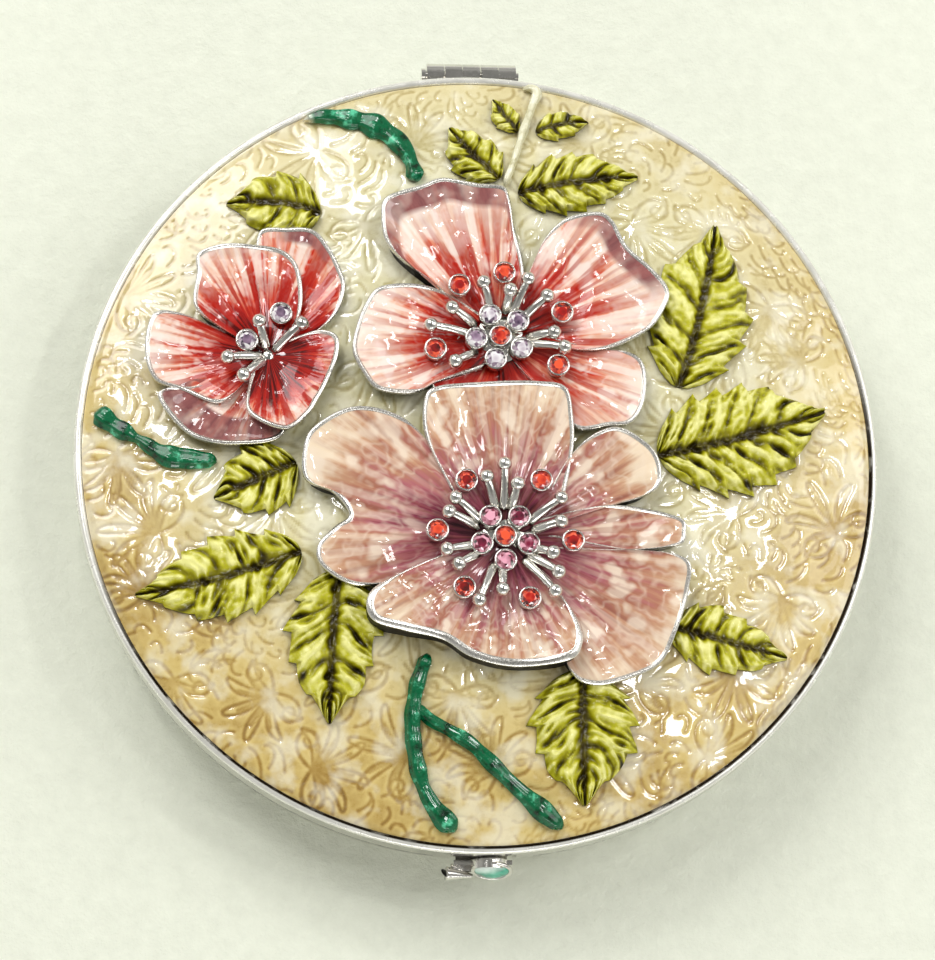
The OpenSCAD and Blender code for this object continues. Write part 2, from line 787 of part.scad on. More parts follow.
// The branch starts beside the main stem, so the two stay separate strips
module stem_forked() {
  color("seagreen") union() {
    stem([[-4.6, -19.4], [-5.6, -21], [-6.1, -23.4], [-6.1, -26.4], [-5.2, -29.4], [-3.9, -31.6],
      [-2.2, -33.2]], [0.6, 0.8, 0.8, 0.7, 0.7, 0.8, 0.8], stem_t);
    stem([[-5, -23.9], [-3.4, -24.9], [-1, -26.2], [1.8, -28.4], [4.3, -30.5], [6.6, -32.4]],
      [0.3, 0.6, 0.7, 0.7, 0.8, 0.9], stem_t);
  }
}

module stem_fern() {
  color("beige") stem(
    [[2.6, 24.4], [3.6, 27], [4.5, 29.6], [5.2, 31.6], [5.6, 33.2], [4.9, 33.9]],
    [0.3, 0.35, 0.4, 0.35, 0.35, 0.3], stem_t);
}

base_shell();
pill_tray();
latch_housing();
latch_spring();
latch_button();
latch_stone();
hinge_base_leaf();
hinge_lid_leaf();
hinge_pin();
lid_shell();
enamel_panel();
lid_catch();
mirror();
mirror_backing();
mirror_ring();
front_flower();
middle_flower();
side_flower();
front_stamens();
middle_stamens();
side_stamens();
front_cups();
middle_cups();
side_cups();
red_crystals();
pink_crystals();
clear_crystals();
leaf_upper_left();
leaf_fern_left();
leaf_fern_top();
leaf_fern_right();
leaf_upper_right();
leaf_right_tall();
leaf_right_wide();
leaf_lower_right();
leaf_bottom();
leaf_lower_left_long();
leaf_lower_left_down();
leaf_left_small();
stem_top();
stem_left();
stem_forked();
stem_fern();
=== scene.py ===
"""Looks of a round pill box with an enamelled lid in floral relief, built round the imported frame.

Shapes are worked out in millimetres and turned into metres where a mesh is made.
"""
import math

import bpy
import numpy as np
from mathutils import Matrix, Vector


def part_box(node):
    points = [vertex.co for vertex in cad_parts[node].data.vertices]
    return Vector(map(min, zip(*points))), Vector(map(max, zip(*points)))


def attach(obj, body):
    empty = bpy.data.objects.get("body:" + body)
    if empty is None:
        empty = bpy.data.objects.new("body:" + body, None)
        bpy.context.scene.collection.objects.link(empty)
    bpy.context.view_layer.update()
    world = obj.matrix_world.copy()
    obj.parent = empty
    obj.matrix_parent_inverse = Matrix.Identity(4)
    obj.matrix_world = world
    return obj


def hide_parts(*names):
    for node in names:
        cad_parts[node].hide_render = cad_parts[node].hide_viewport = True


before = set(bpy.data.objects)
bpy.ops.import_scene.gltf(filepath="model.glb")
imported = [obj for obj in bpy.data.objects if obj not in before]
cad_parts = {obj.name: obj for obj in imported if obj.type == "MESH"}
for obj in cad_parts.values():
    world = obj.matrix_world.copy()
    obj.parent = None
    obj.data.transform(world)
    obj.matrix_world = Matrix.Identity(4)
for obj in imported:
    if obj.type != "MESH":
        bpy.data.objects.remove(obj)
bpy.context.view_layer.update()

# ---- sizes, in millimetres

MM = 0.001
PANEL_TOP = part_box("enamel_panel")[1] / MM
PANEL_R = PANEL_TOP.x
PANEL_T = 0.5                   # thickness of the enamel
DOME_RISE = 3.6                 # height of the lid's crown over its rim
DOME_R = (PANEL_R**2 + DOME_RISE**2) / (2 * DOME_RISE)

FRONT = (1.6, -8.6)             # flower centres
MIDDLE = (1.5, 9.2)
SIDE = (-18.4, 7.7)

EDGE_T = 0.45                   # thickness of a petal's edge
PETAL_LOW = 0.68                # top of a petal over the dome at the flower's centre
RIM_W = 0.34                    # bare metal edge of a petal

LIP_H = 0.1                     # lip's top over the enamel's edge
LIP_GAP = 0.03                  # between the enamel and the lip
LIP_PROUD = 0.012
SEAM_W = 0.3                    # part of the lip dark with painted shade, along the enamel
PARTING_R = 34.8                # middle of the black line of painted shade along the top edge of the pan
PARTING_ARCS = ((-83, 82), (98, 263))   # in degrees, clear of the hinge and the thumb piece

RING_R = 2.1                    # ring of crystals round a flower's centre crystal

FLOOR_HALF = 1.2                # metres

CAMERA_TURN = 19.62             # degrees to the left of the front
CAMERA_TILT = 16.66             # degrees from straight above
CAMERA_ROLL = -0.909
CAMERA_AIM = (0.0, 0.0, 7.35)
CAMERA_DISTANCE = 320.0
CAMERA_LENS = 137.36
CAMERA_SHIFT = (-0.0097, -0.0198)


def dome(x, y):
    """Height of the lid's smooth enamel at a place."""
    return PANEL_TOP.z - DOME_R + np.sqrt(DOME_R**2 - x**2 - y**2)


# ---- numbers and curves

def rgb(red, green, blue):
    """A colour as read on a screen, 0 to 255, in the linear values that a shader takes."""
    parts = np.array([red, green, blue]) / 255
    linear = np.where(parts <= 0.04045, parts / 12.92, ((parts + 0.055) / 1.055) ** 2.4)
    return (*linear.tolist(), 1.0)


def ease(value, low, high):
    """0 below low, 1 above high, smooth between."""
    part = np.clip((value - low) / (high - low), 0, 1)
    return part * part * (3 - 2 * part)


def ripple(u, v, seed, size=1.0, waves=7):
    """Smooth seeded unevenness, about -1 to 1, with features about size across."""
    rng = np.random.default_rng(seed)
    total = 0.0
    for angle, phase, rate in rng.uniform((0, 0, 1.4), (2 * math.pi, 2 * math.pi, 3.8), (waves, 3)):
        total = total + np.sin((u * math.cos(angle) + v * math.sin(angle)) * rate / size + phase)
    return total / math.sqrt(waves)


def smooth_line(points, count):
    """count points at even steps along a smooth curve through points."""
    points = np.asarray(points, float)
    ends = np.vstack([2 * points[0] - points[1], points, 2 * points[-1] - points[-2]])
    steps = np.linspace(0, 1, 24, endpoint=False)[:, None]
    runs = []
    for before, start, end, after in zip(ends, ends[1:], ends[2:], ends[3:]):
        runs.append(0.5 * (2 * start + (end - before) * steps
                           + (2 * before - 5 * start + 4 * end - after) * steps**2
                           + (3 * start - before - 3 * end + after) * steps**3))
    line = np.vstack(runs + [points[-1:]])
    length = np.concatenate([[0], np.cumsum(np.linalg.norm(np.diff(line[:, :2], axis=0), axis=1))])
    even = np.linspace(0, length[-1], count)
    return np.stack([np.interp(even, length, column) for column in line.T], axis=1)


# ---- meshes

def grid_faces(rows, cols, wrap_rows=False, wrap_cols=False):
    """Quads of a grid of points stored row by row."""
    r, c = np.meshgrid(np.arange(rows - (not wrap_rows)), np.arange(cols - (not wrap_cols)), indexing="ij")
    r_next, c_next = (r + 1) % rows, (c + 1) % cols
    corners = (r * cols + c, r * cols + c_next, r_next * cols + c_next, r_next * cols + c)
    return np.stack(corners, axis=-1).reshape(-1, 4)


def grid_border(rows, cols):
    """Indices of a grid's outer points, once round."""
    return np.concatenate([np.arange(cols), np.arange(1, rows) * cols + cols - 1,
                           np.arange(cols - 2, -1, -1) + (rows - 1) * cols,
                           np.arange(rows - 2, 0, -1) * cols])


def tube_faces(rings, sides):
    """Quads between rings of points, and a cap at each end."""
    faces = grid_faces(rings, sides, wrap_cols=True).tolist()
    faces.append(list(range(sides))[::-1])
    faces.append([(rings - 1) * sides + index for index in range(sides)])
    return faces


def circle(count):
    """Even angles once round."""
    return np.linspace(0, 2 * math.pi, count, endpoint=False)


class Shape:
    """Points in millimetres, faces and point fields, gathered for one mesh."""

    def __init__(self):
        self.points = []
        self.faces = []
        self.slots = []
        self.fields = {}
        self.count = 0

    def add(self, points, faces, slot=0, **fields):
        """Faces count this call's own points. slot is one material number, or one for each face."""
        points = np.asarray(points, float).reshape(-1, 3)
        for key, values in fields.items():
            column = np.broadcast_to(np.asarray(values, float).ravel(), len(points))
            self.fields.setdefault(key, []).append((self.count, column))
        for face in faces:
            self.faces.append([int(index) + self.count for index in face])
        self.slots.extend(np.broadcast_to(np.asarray(slot, int), len(faces)).tolist())
        self.points.append(points)
        self.count += len(points)

    def build(self, name, materials, body, slot, *nodes, flat=False):
        """Makes the piece, lets it ride on a body and stand for CAD nodes."""
        mesh = bpy.data.meshes.new(name)
        mesh.from_pydata((np.vstack(self.points) * MM).tolist(), [], self.faces)
        for key, parts in self.fields.items():
            values = np.zeros(self.count, np.float32)
            for start, part in parts:
                values[start:start + len(part)] = part
            mesh.attributes.new(key, "FLOAT", "POINT").data.foreach_set("value", values)
        for material in materials:
            mesh.materials.append(material)
        mesh.polygons.foreach_set("material_index", self.slots)
        mesh.polygons.foreach_set("use_smooth", [not flat] * len(self.faces))
        mesh.update()
        piece = bpy.data.objects.new(name, mesh)
        bpy.context.scene.collection.objects.link(piece)
        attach(piece, body)
        if nodes:
            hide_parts(*nodes)
        return piece


def add_sweep(shape, path, across, up, sides=16, flute=0.0, slot=0, **fields):
    """A closed tube along a path. across and up are its half width and half height at each point."""
    path = np.asarray(path, float)
    count = len(path)
    across, up = np.broadcast_to(across, count), np.broadcast_to(up, count)
    along = np.gradient(path, axis=0)
    along /= np.linalg.norm(along, axis=1)[:, None]
    side = np.cross(along, (0.0, 0.0, 1.0))
    side /= np.linalg.norm(side, axis=1)[:, None]
    top = np.cross(side, along)
    angle = circle(sides)
    fluted = 1 + flute * np.cos(5 * angle + 0.6)
    rings = (path[:, None] + (across[:, None] * fluted * np.cos(angle))[..., None] * side[:, None]
             + (up[:, None] * fluted * np.sin(angle))[..., None] * top[:, None])
    repeated = {key: np.repeat(np.broadcast_to(value, count), sides) for key, value in fields.items()}
    shape.add(rings, tube_faces(count, sides), slot, **repeated)


def add_lathe(shape, profile, centre, sides=32):
    """A profile of (radius, height) turned round an upright axis at centre."""
    profile = np.asarray(profile, float)
    x = profile[:, :1] * np.cos(circle(sides))
    y = profile[:, :1] * np.sin(circle(sides))
    z = profile[:, 1:] + 0 * x
    rings = np.stack([x + centre[0], y + centre[1], z + centre[2]], axis=-1)
    shape.add(rings, tube_faces(len(profile), sides))


def ball_profile(radius, steps=14):
    """Half a circle from pole to pole, with the poles left as small flats."""
    angle = np.linspace(-1.5, 1.5, steps)
    return np.stack([radius * np.cos(angle), radius * np.sin(angle)], axis=1)


# ---- shader graphs

def new_material(name, **sockets):
    """A material and its node tree. sockets sets values on its Principled shader."""
    material = bpy.data.materials.new(name)
    material.use_nodes = True
    shader = material.node_tree.nodes["Principled BSDF"]
    for key, value in sockets.items():
        shader.inputs[key.replace("_", " ")].default_value = value
    return material, material.node_tree


def wire(tree, source, target):
    """Links a socket, or sets a plain value."""
    if isinstance(source, bpy.types.NodeSocket):
        tree.links.new(source, target)
    else:
        target.default_value = source


def paint(tree, **sockets):
    """Wires sockets of the tree's Principled shader."""
    shader = tree.nodes["Principled BSDF"]
    for key, source in sockets.items():
        wire(tree, source, shader.inputs[key.replace("_", " ")])


def put(tree, kind, out, inputs, **settings):
    """Adds a node, sets it up, wires its inputs and gives one output."""
    made = tree.nodes.new("ShaderNode" + kind)
    for key, value in settings.items():
        setattr(made, key, value)
    for key, source in inputs.items():
        wire(tree, source, made.inputs[key])
    return made.outputs[out]


def field(tree, name):
    """A number that the mesh carries at each point."""
    return put(tree, "Attribute", "Fac", {}, attribute_name=name)


def place(tree):
    """The point's place on the object, in millimetres."""
    spot = put(tree, "TexCoord", "Object", {})
    return put(tree, "Mapping", "Vector", {"Vector": spot, "Scale": (1 / MM,) * 3})


def noise(tree, vector, scale, detail=3.0, roughness=0.55):
    """Noise from 0 to 1, mostly near 0.5."""
    inputs = {"Vector": vector, "Scale": scale, "Detail": detail, "Roughness": roughness}
    return put(tree, "TexNoise", "Fac", inputs)


def grain_of(tree, scale, detail=3.0, roughness=0.55):
    """Noise over the object, with about scale features in each millimetre."""
    return noise(tree, place(tree), scale, detail, roughness)


def stretched(tree, scales):
    """The point's place in millimetres, each axis times its own scale."""
    return put(tree, "Mapping", "Vector", {"Vector": place(tree), "Scale": scales})


def combined(tree, x, y, z):
    return put(tree, "CombineXYZ", 0, {"X": x, "Y": y, "Z": z})


def calc(tree, operation, first, second=0.0, third=0.0):
    """One Math node."""
    return put(tree, "Math", 0, {0: first, 1: second, 2: third}, operation=operation)


def spread(tree, value, low, high, low_out=0.0, high_out=1.0):
    """Maps low..high to low_out..high_out and holds it there."""
    return put(tree, "MapRange", 0, {"Value": value, "From Min": low, "From Max": high,
                                     "To Min": low_out, "To Max": high_out})


def ramp(tree, factor, stops):
    """Colours at places from 0 to 1."""
    made = tree.nodes.new("ShaderNodeValToRGB")
    wire(tree, factor, made.inputs[0])
    elements = made.color_ramp.elements
    elements[0].position, elements[0].color = stops[0]
    elements[1].position, elements[1].color = stops[-1]
    for position, colour in stops[1:-1]:
        elements.new(position).color = colour
    return made.outputs[0]


def mix(tree, factor, first, second):
    """The first colour at 0, the second at 1."""
    made = tree.nodes.new("ShaderNodeMix")
    made.data_type = "RGBA"
    for source, target in ((factor, 0), (first, 6), (second, 7)):
        wire(tree, source, made.inputs[target])
    return made.outputs[2]


def bump(tree, height, depth, over=None):
    """A normal from a height of 0 to 1 that stands for depth millimetres, over another normal."""
    inputs = {"Height": height, "Distance": depth * MM}
    if over is not None:
        inputs["Normal"] = over
    return put(tree, "Bump", 0, inputs)


def turned_normal(tree):
    """The normal of a turned surface, freed of the small flats that make up its roundness."""
    spot = tree.nodes.new("ShaderNodeTexCoord").outputs
    outward = put(tree, "VectorMath", 0, {0: spot["Object"], 1: (1, 1, 0)}, operation="MULTIPLY")
    around = put(tree, "VectorMath", 0, {0: (0, 0, 1), 1: outward}, operation="CROSS_PRODUCT")
    around = put(tree, "VectorMath", 0, {0: around}, operation="NORMALIZE")
    turn = put(tree, "VectorMath", 1, {0: spot["Normal"], 1: around}, operation="DOT_PRODUCT")
    small = calc(tree, "LESS_THAN", calc(tree, "ABSOLUTE", turn), 0.08)
    aside = put(tree, "VectorMath", 0, {0: around, "Scale": calc(tree, "MULTIPLY", turn, small)},
                operation="SCALE")
    smooth = put(tree, "VectorMath", 0, {0: spot["Normal"], 1: aside}, operation="SUBTRACT")
    return put(tree, "VectorTransform", 0, {0: smooth}, vector_type="NORMAL", convert_from="OBJECT",
               convert_to="WORLD")


def grey(value):
    """A shade of grey for a ramp that is read as a number."""
    return (value, value, value, 1.0)


def shades(tree, factor, dark, light, low=0.3, high=0.7):
    """A ramp between two screen colours."""
    return ramp(tree, factor, [(low, rgb(*dark)), (high, rgb(*light))])


def rough_by(tree, factor, smooth, rough):
    """Roughness that follows a noise."""
    return spread(tree, factor, 0.3, 0.7, smooth, rough)


def plain_look(tree, grain, dark, light, rough, depth):
    """Colour, roughness and bump that all follow one noise."""
    paint(tree, Base_Color=shades(tree, grain, dark, light), Roughness=rough_by(tree, grain, *rough),
          Normal=bump(tree, grain, depth))


# ---- materials

def silver_material(name="polished_silver", tint=(236, 233, 226), rough=0.13, turned=False):
    """Polished silver plate with faint clouding and fine rubbed scratches."""
    material, tree = new_material(name, Metallic=1.0)
    clouds = grain_of(tree, 0.35, 4.0)
    specks = grain_of(tree, 7.0, 2.0)
    scratches = grain_of(tree, 2.2, 5.0)
    paint(tree, Base_Color=shades(tree, clouds, 0.86 * np.array(tint), tint, 0.25),
          Roughness=spread(tree, specks, 0.3, 0.75, rough * 0.7, rough * 1.7),
          Normal=bump(tree, scratches, 0.012, turned_normal(tree) if turned else None))
    return material


def painted_shade_material():
    """Silver coloured near-black as painted shade: under petals' edges, along the pan's top edge and in the
    rolled leaf's open end.
    """
    material, tree = new_material("painted_shade_black", Specular_IOR_Level=0.2)
    plain_look(tree, grain_of(tree, 1.4, 4.0), (10, 9, 9), (34, 30, 28), (0.4, 0.7), 0.03)
    return material


def lip_material():
    """Satin silver, dark with painted shade in the seam along the enamel."""
    material, tree = new_material("lip_silver", Metallic=0.5)
    clouds = grain_of(tree, 0.5, 4.0)
    patchy = spread(tree, clouds, 0.3, 0.45, 0.6, 1.0)
    dark = calc(tree, "MULTIPLY", field(tree, "tarnish"), patchy)
    tone = shades(tree, clouds, (226, 224, 214), (246, 244, 236), 0.25)
    paint(tree, Base_Color=mix(tree, dark, tone, rgb(26, 17, 6)),
          Roughness=rough_by(tree, clouds, 0.2, 0.32),
          Specular_IOR_Level=spread(tree, dark, 0.0, 1.0, 0.5, 0.05),
          Normal=bump(tree, clouds, 0.01))
    return material


def ground_material():
    """Cream enamel over embossed metal: deeper and more ochre where it pools in the valleys."""
    material, tree = new_material("cream_enamel", Coat_Weight=1.0, Coat_Roughness=0.035,
                                  Coat_IOR=1.52)
    relief = field(tree, "relief")
    rim = field(tree, "rim")
    clouds = grain_of(tree, 0.11)
    grains = grain_of(tree, 1.3, 4.0)
    shift = calc(tree, "MULTIPLY_ADD", grains, 0.2, calc(tree, "MULTIPLY_ADD", clouds, 0.5, -0.35))
    depth = calc(tree, "ADD", relief, shift)
    # rim blends to the ochre ramp towards the edge; its lean to the front paints shade there and sheen at
    # the back.
    inner = ramp(tree, depth, [(0.15, rgb(150, 128, 70)), (0.36, rgb(200, 188, 134)),
                               (0.54, rgb(230, 223, 180)), (0.9, rgb(246, 243, 222))])
    outer = ramp(tree, depth, [(0.15, rgb(112, 80, 26)), (0.36, rgb(172, 138, 66)),
                               (0.54, rgb(214, 188, 114)), (0.9, rgb(240, 224, 166))])
    # Painted sheen: pale patches where soft reflections would lie on the enamel.
    pools = grain_of(tree, 0.36, 3.0, 0.5)
    painted_sheen = ramp(tree, pools, [(0.0, grey(0)), (0.47, grey(0)), (0.64, grey(0.5)), (1.0, grey(0.65))])
    paint(tree, Base_Color=mix(tree, painted_sheen, mix(tree, rim, inner, outer), rgb(248, 244, 222)),
          Roughness=rough_by(tree, grains, 0.22, 0.4), Normal=bump(tree, grains, 0.02))
    return material


def petal_noise(tree, across, along, *quality):
    """Noise on a petal, across its rays and along them, shifted from petal to petal."""
    return noise(tree, combined(tree, across, along, field(tree, "tone")), 1.0, *quality)


def blend_in(tree, under, over, *shares):
    """Lays a colour over another where all the shares are high."""
    share = shares[0]
    for more in shares[1:]:
        share = calc(tree, "MULTIPLY", share, more)
    return mix(tree, share, under, over)


def petal_material(name, stops, fold_tone, streak, vein_tone, lines, pale):
    """Shaded enamel: stops run from the flower's centre to a petal's edge, pulled out in streaks."""
    material, tree = new_material(name, Coat_Weight=0.75, Coat_Roughness=0.04, Coat_IOR=1.52,
                                  Specular_IOR_Level=0.12)
    reach, bearing = field(tree, "reach"), field(tree, "bearing")

    def wider(source, factor):
        return calc(tree, "MULTIPLY", source, factor)

    rays = petal_noise(tree, wider(bearing, 9.0), wider(reach, 1.6), 4.0, 0.65)
    broad = petal_noise(tree, wider(bearing, 2.2), wider(reach, 1.6), 2.0)
    pools = petal_noise(tree, wider(bearing, 5.0), wider(reach, 5.5), 2.5, 0.5)
    strands = petal_noise(tree, wider(bearing, 13.0), reach, 1.0)
    pull = reach
    for source, strength in ((rays, streak), (broad, 0.5 * streak), (pools, 0.4)):
        pull = calc(tree, "MULTIPLY_ADD", calc(tree, "SUBTRACT", source, 0.5), strength, pull)
    body = ramp(tree, pull, stops)
    body = blend_in(tree, body, vein_tone, field(tree, "groove"), 0.55)
    # Painted highlight: whitish patches ringed by a bright band, where reflections would lie on the enamel.
    painted_highlight = ramp(tree, pools, [(0.0, grey(0)), (0.40, grey(0)), (0.45, grey(0.34)), (0.5, grey(0)),
                               (0.53, grey(0)), (0.62, grey(0.75)), (1.0, grey(0.85))])
    body = blend_in(tree, body, pale, painted_highlight, spread(tree, reach, 0.25, 0.6))
    gaps, near_edge = spread(tree, strands, 0.47, 0.4), spread(tree, reach, 0.34, 0.6)
    body = blend_in(tree, body, pale, gaps, near_edge, 0.75 * lines)
    fine, near_heart = spread(tree, strands, 0.5, 0.56), spread(tree, reach, 1.0, 0.5)
    body = blend_in(tree, body, vein_tone, fine, near_heart, lines)
    turned = mix(tree, spread(tree, rays, 0.35, 0.65), fold_tone, rgb(112, 62, 64))
    body = blend_in(tree, body, turned, field(tree, "fold"), spread(tree, pools, 0.3, 0.55, 0.5, 1.0))
    paint(tree, Base_Color=body, Roughness=rough_by(tree, rays, 0.2, 0.42), Normal=bump(tree, rays, 0.02))
    return material


def dusty_pink_material():
    """Enamel of the front flower."""
    stops = [(0.08, rgb(66, 16, 30)), (0.26, rgb(134, 54, 74)), (0.46, rgb(182, 108, 114)),
             (0.64, rgb(186, 126, 102)), (0.80, rgb(206, 160, 126)), (1.0, rgb(240, 218, 188))]
    return petal_material("dusty_pink_enamel", stops, rgb(160, 110, 108), 1.0, rgb(136, 72, 62),
                          0.4, rgb(246, 228, 206))


def red_material():
    """Enamel of the middle and side flowers."""
    stops = [(0.08, rgb(84, 2, 1)), (0.26, rgb(164, 10, 3)), (0.42, rgb(206, 56, 32)),
             (0.56, rgb(226, 134, 104)), (0.72, rgb(238, 192, 166)), (1.0, rgb(248, 228, 210))]
    return petal_material("red_enamel", stops, rgb(158, 96, 92), 1.3, rgb(176, 24, 10),
                          0.85, rgb(252, 234, 222))


def leaf_material():
    """Yellow-green enamel, dark where it sinks into the veins, lighter on its high parts as painted
    highlight and darker low down as painted shade.
    """
    material, tree = new_material("green_enamel", Coat_Weight=0.45, Coat_Roughness=0.07, Coat_IOR=1.5,
                                  Specular_IOR_Level=0.15)
    vein, level = field(tree, "vein"), field(tree, "level")
    blotch = grain_of(tree, 0.7, 5.0, 0.6)
    grain = grain_of(tree, 3.2)
    # level paints highlight on raised parts and shade in hollows.
    depth = calc(tree, "MULTIPLY_ADD", blotch, 0.75, calc(tree, "MULTIPLY_ADD", level, 1.05, -0.5))
    blade = ramp(tree, depth, [(0.08, rgb(38, 30, 1)), (0.28, rgb(92, 84, 1)), (0.50, rgb(148, 142, 8)),
                               (0.70, rgb(192, 188, 44)), (0.92, rgb(240, 236, 150))])
    paint(tree, Base_Color=mix(tree, vein, blade, rgb(56, 45, 2)),
          Roughness=rough_by(tree, grain, 0.2, 0.42), Normal=bump(tree, grain, 0.05))
    return material


def stem_material(name, deep, mid, light):
    """Clear enamel over chased metal, with its metal bare where it has rubbed at the ends."""
    material, tree = new_material(name, Coat_Weight=0.7, Coat_Roughness=0.05, Specular_IOR_Level=0.15)
    bare = field(tree, "bare")
    folds = grain_of(tree, 0.8, 4.0, 0.6)
    grain = grain_of(tree, 3.0, 2.0)
    tone = ramp(tree, folds, [(0.34, deep), (0.47, mid), (0.56, mid), (0.68, light)])
    paint(tree, Base_Color=mix(tree, bare, tone, rgb(226, 222, 208)), Metallic=bare,
          Roughness=rough_by(tree, grain, 0.14, 0.3), Normal=bump(tree, folds, 0.16))
    return material


def crystal_material(name, deep, mid, light):
    """Foil-backed cut glass with painted glints: each facet is painted its own brightness, from dark to
    bright.
    """
    material, tree = new_material(name, Roughness=0.03, IOR=1.7, Coat_Weight=1.0, Coat_Roughness=0.02)
    inner = put(tree, "TexVoronoi", "Distance", {"Vector": place(tree), "Scale": 1.7})
    facet = calc(tree, "MULTIPLY_ADD", field(tree, "spark"), 1.2, -0.28)
    tone = calc(tree, "MULTIPLY_ADD", inner, 0.5, facet)
    paint(tree, Base_Color=ramp(tree, tone, [(0.0, rgb(*deep)), (0.45, rgb(*mid)), (0.95, rgb(*light))]))
    return material


def stone_material():
    """Teal glass cabochon, with a painted highlight: paler towards its top."""
    material, tree = new_material("teal_stone", Roughness=0.04, IOR=1.6, Coat_Weight=1.0)
    cloud = grain_of(tree, 0.7, 2.0)
    stops = [(0.3, rgb(2, 104, 84)), (0.52, rgb(18, 168, 136)), (0.75, rgb(120, 220, 190))]
    painted_highlight = spread(tree, calc(tree, "MULTIPLY_ADD", cloud, 0.4, field(tree, "height")), 0.72, 1.1)
    paint(tree, Base_Color=mix(tree, painted_highlight, ramp(tree, cloud, stops), rgb(240, 250, 244)),
          Normal=bump(tree, cloud, 0.05))
    return material


def steel_material():
    """Drawn spring wire with fine lengthwise lines."""
    material, tree = new_material("spring_steel", Metallic=1.0)
    lines = noise(tree, stretched(tree, (0.3, 9.0, 9.0)), 1.0)
    plain_look(tree, lines, (120, 120, 124), (178, 178, 182), (0.2, 0.38), 0.01)
    return material


def mirror_material():
    """Silvered glass with a trace of haze."""
    material, tree = new_material("mirror_glass", Metallic=1.0, Coat_Weight=0.6, Coat_Roughness=0.0)
    haze = grain_of(tree, 0.12, 5.0)
    paint(tree, Base_Color=shades(tree, haze, (222, 226, 228), (238, 240, 240)),
          Roughness=spread(tree, haze, 0.35, 0.8, 0.01, 0.05))
    return material


def card_material():
    """Grey board with visible fibres."""
    material, tree = new_material("card", Specular_IOR_Level=0.2)
    fibres = noise(tree, stretched(tree, (1.0, 4.0, 1.0)), 1.2, 6.0)
    plain_look(tree, fibres, (112, 106, 98), (150, 144, 134), (0.8, 0.95), 0.06)
    return material


def tray_material():
    """Ivory moulded plastic: a fine moulded texture and slightly uneven colour."""
    material, tree = new_material("tray_plastic", Subsurface_Weight=0.12, IOR=1.48)
    tree.nodes["Principled BSDF"].inputs["Subsurface Radius"].default_value = (0.002, 0.0015, 0.001)
    clouds = grain_of(tree, 0.15)
    texture = grain_of(tree, 5.5, 2.0)
    paint(tree, Base_Color=shades(tree, clouds, (232, 226, 208), (243, 239, 226)),
          Roughness=rough_by(tree, texture, 0.26, 0.4), Normal=bump(tree, texture, 0.015))
    return material


def floor_material():
    """Pale matt surface with a fine grain."""
    material, tree = new_material("floor", Specular_IOR_Level=0.25)
    plain_look(tree, grain_of(tree, 0.5, 5.0, 0.7), (227, 230, 213), (236, 239, 222), (0.5, 0.75), 0.25)
    return material


# ---- the enamelled ground

GROUND_STEP = 0.08              # raster step of the embossing
GROUND_DEPTH = 0.065            # from groove to ridge, after the enamel has filled it
PANEL_POINTS = 380              # along each side of the panel's grid


def stamp_line(height, path, width, crest=1.0):
    """Cuts a rounded groove into a raster of depths along a path, keeping the deeper one."""
    size = len(height)
    half = width / GROUND_STEP
    for column, row in (np.asarray(path) + PANEL_R) / GROUND_STEP:
        r0, r1 = max(int(row - half), 0), min(int(row + half) + 2, size)
        c0, c1 = max(int(column - half), 0), min(int(column + half) + 2, size)
        if r0 < r1 and c0 < c1:
            away = (np.arange(r0, r1)[:, None] - row)**2 + (np.arange(c0, c1)[None, :] - column)**2
            rise = crest * np.clip(1 - away / half**2, 0, 1)
            height[r0:r1, c0:c1] = np.maximum(height[r0:r1, c0:c1], rise)


def loop_path(x, y, heading, length, width, bend):
    """A teardrop loop out from a point and back, leaning more towards its tip."""
    part = np.linspace(0, 1, int(length / 0.045))
    out = (1 - np.cos(2 * math.pi * part)) / 2
    aside = width * np.sin(2 * math.pi * part) * out**0.7
    angle = heading + bend * out**2
    return np.stack([x + length * out * np.cos(angle) - aside * np.sin(angle),
                     y + length * out * np.sin(angle) + aside * np.cos(angle)], axis=1)


def curl_path(x, y, heading, length, curl):
    """A line that winds up towards its end."""
    part = np.linspace(0, 1, int(length / 0.09))
    angle = heading + curl * part**2
    step = length / len(part)
    return np.stack([x + np.cumsum(np.cos(angle)) * step, y + np.cumsum(np.sin(angle)) * step], axis=1)


def scattered(rng, spacing, shake):
    """Places on a shaken hexagonal grid over the panel."""
    rows = np.arange(-PANEL_R, PANEL_R, spacing * 0.87)
    for number, y in enumerate(rows):
        for x in np.arange(-PANEL_R + (number % 2) * spacing / 2, PANEL_R, spacing):
            dx, dy = rng.uniform(-shake, shake, 2)
            if math.hypot(x + dx, y + dy) < PANEL_R:
                yield x + dx, y + dy


def add_palmette(height, rng, x, y):
    """A fan of teardrop loops that lean outwards, over a pair of curling tails."""
    heading = rng.uniform(0, 2 * math.pi)
    count = rng.integers(5, 8)
    size = rng.uniform(4.4, 5.8)
    for place_in in np.linspace(-1, 1, count):
        length = size * (0.6 + 0.4 * math.cos(1.3 * place_in))
        angle = heading + 1.15 * place_in
        stamp_line(height, loop_path(x, y, angle, length, 0.56, 0.55 * place_in), 0.23)
        stamp_line(height, curl_path(x, y, angle, length * 0.72, 0.5 * place_in), 0.24, 0.8)
    for turn in (-1, 1):
        stamp_line(height, curl_path(x, y, heading + turn * 2.3, size * 1.5, -turn * 7.5), 0.26)


def soften(height, passes):
    """A raster blurred with its neighbours."""
    for _ in range(passes):
        height = (height + np.roll(height, 1, 0) + np.roll(height, -1, 0)
                  + np.roll(height, 1, 1) + np.roll(height, -1, 1)) / 5
    return height


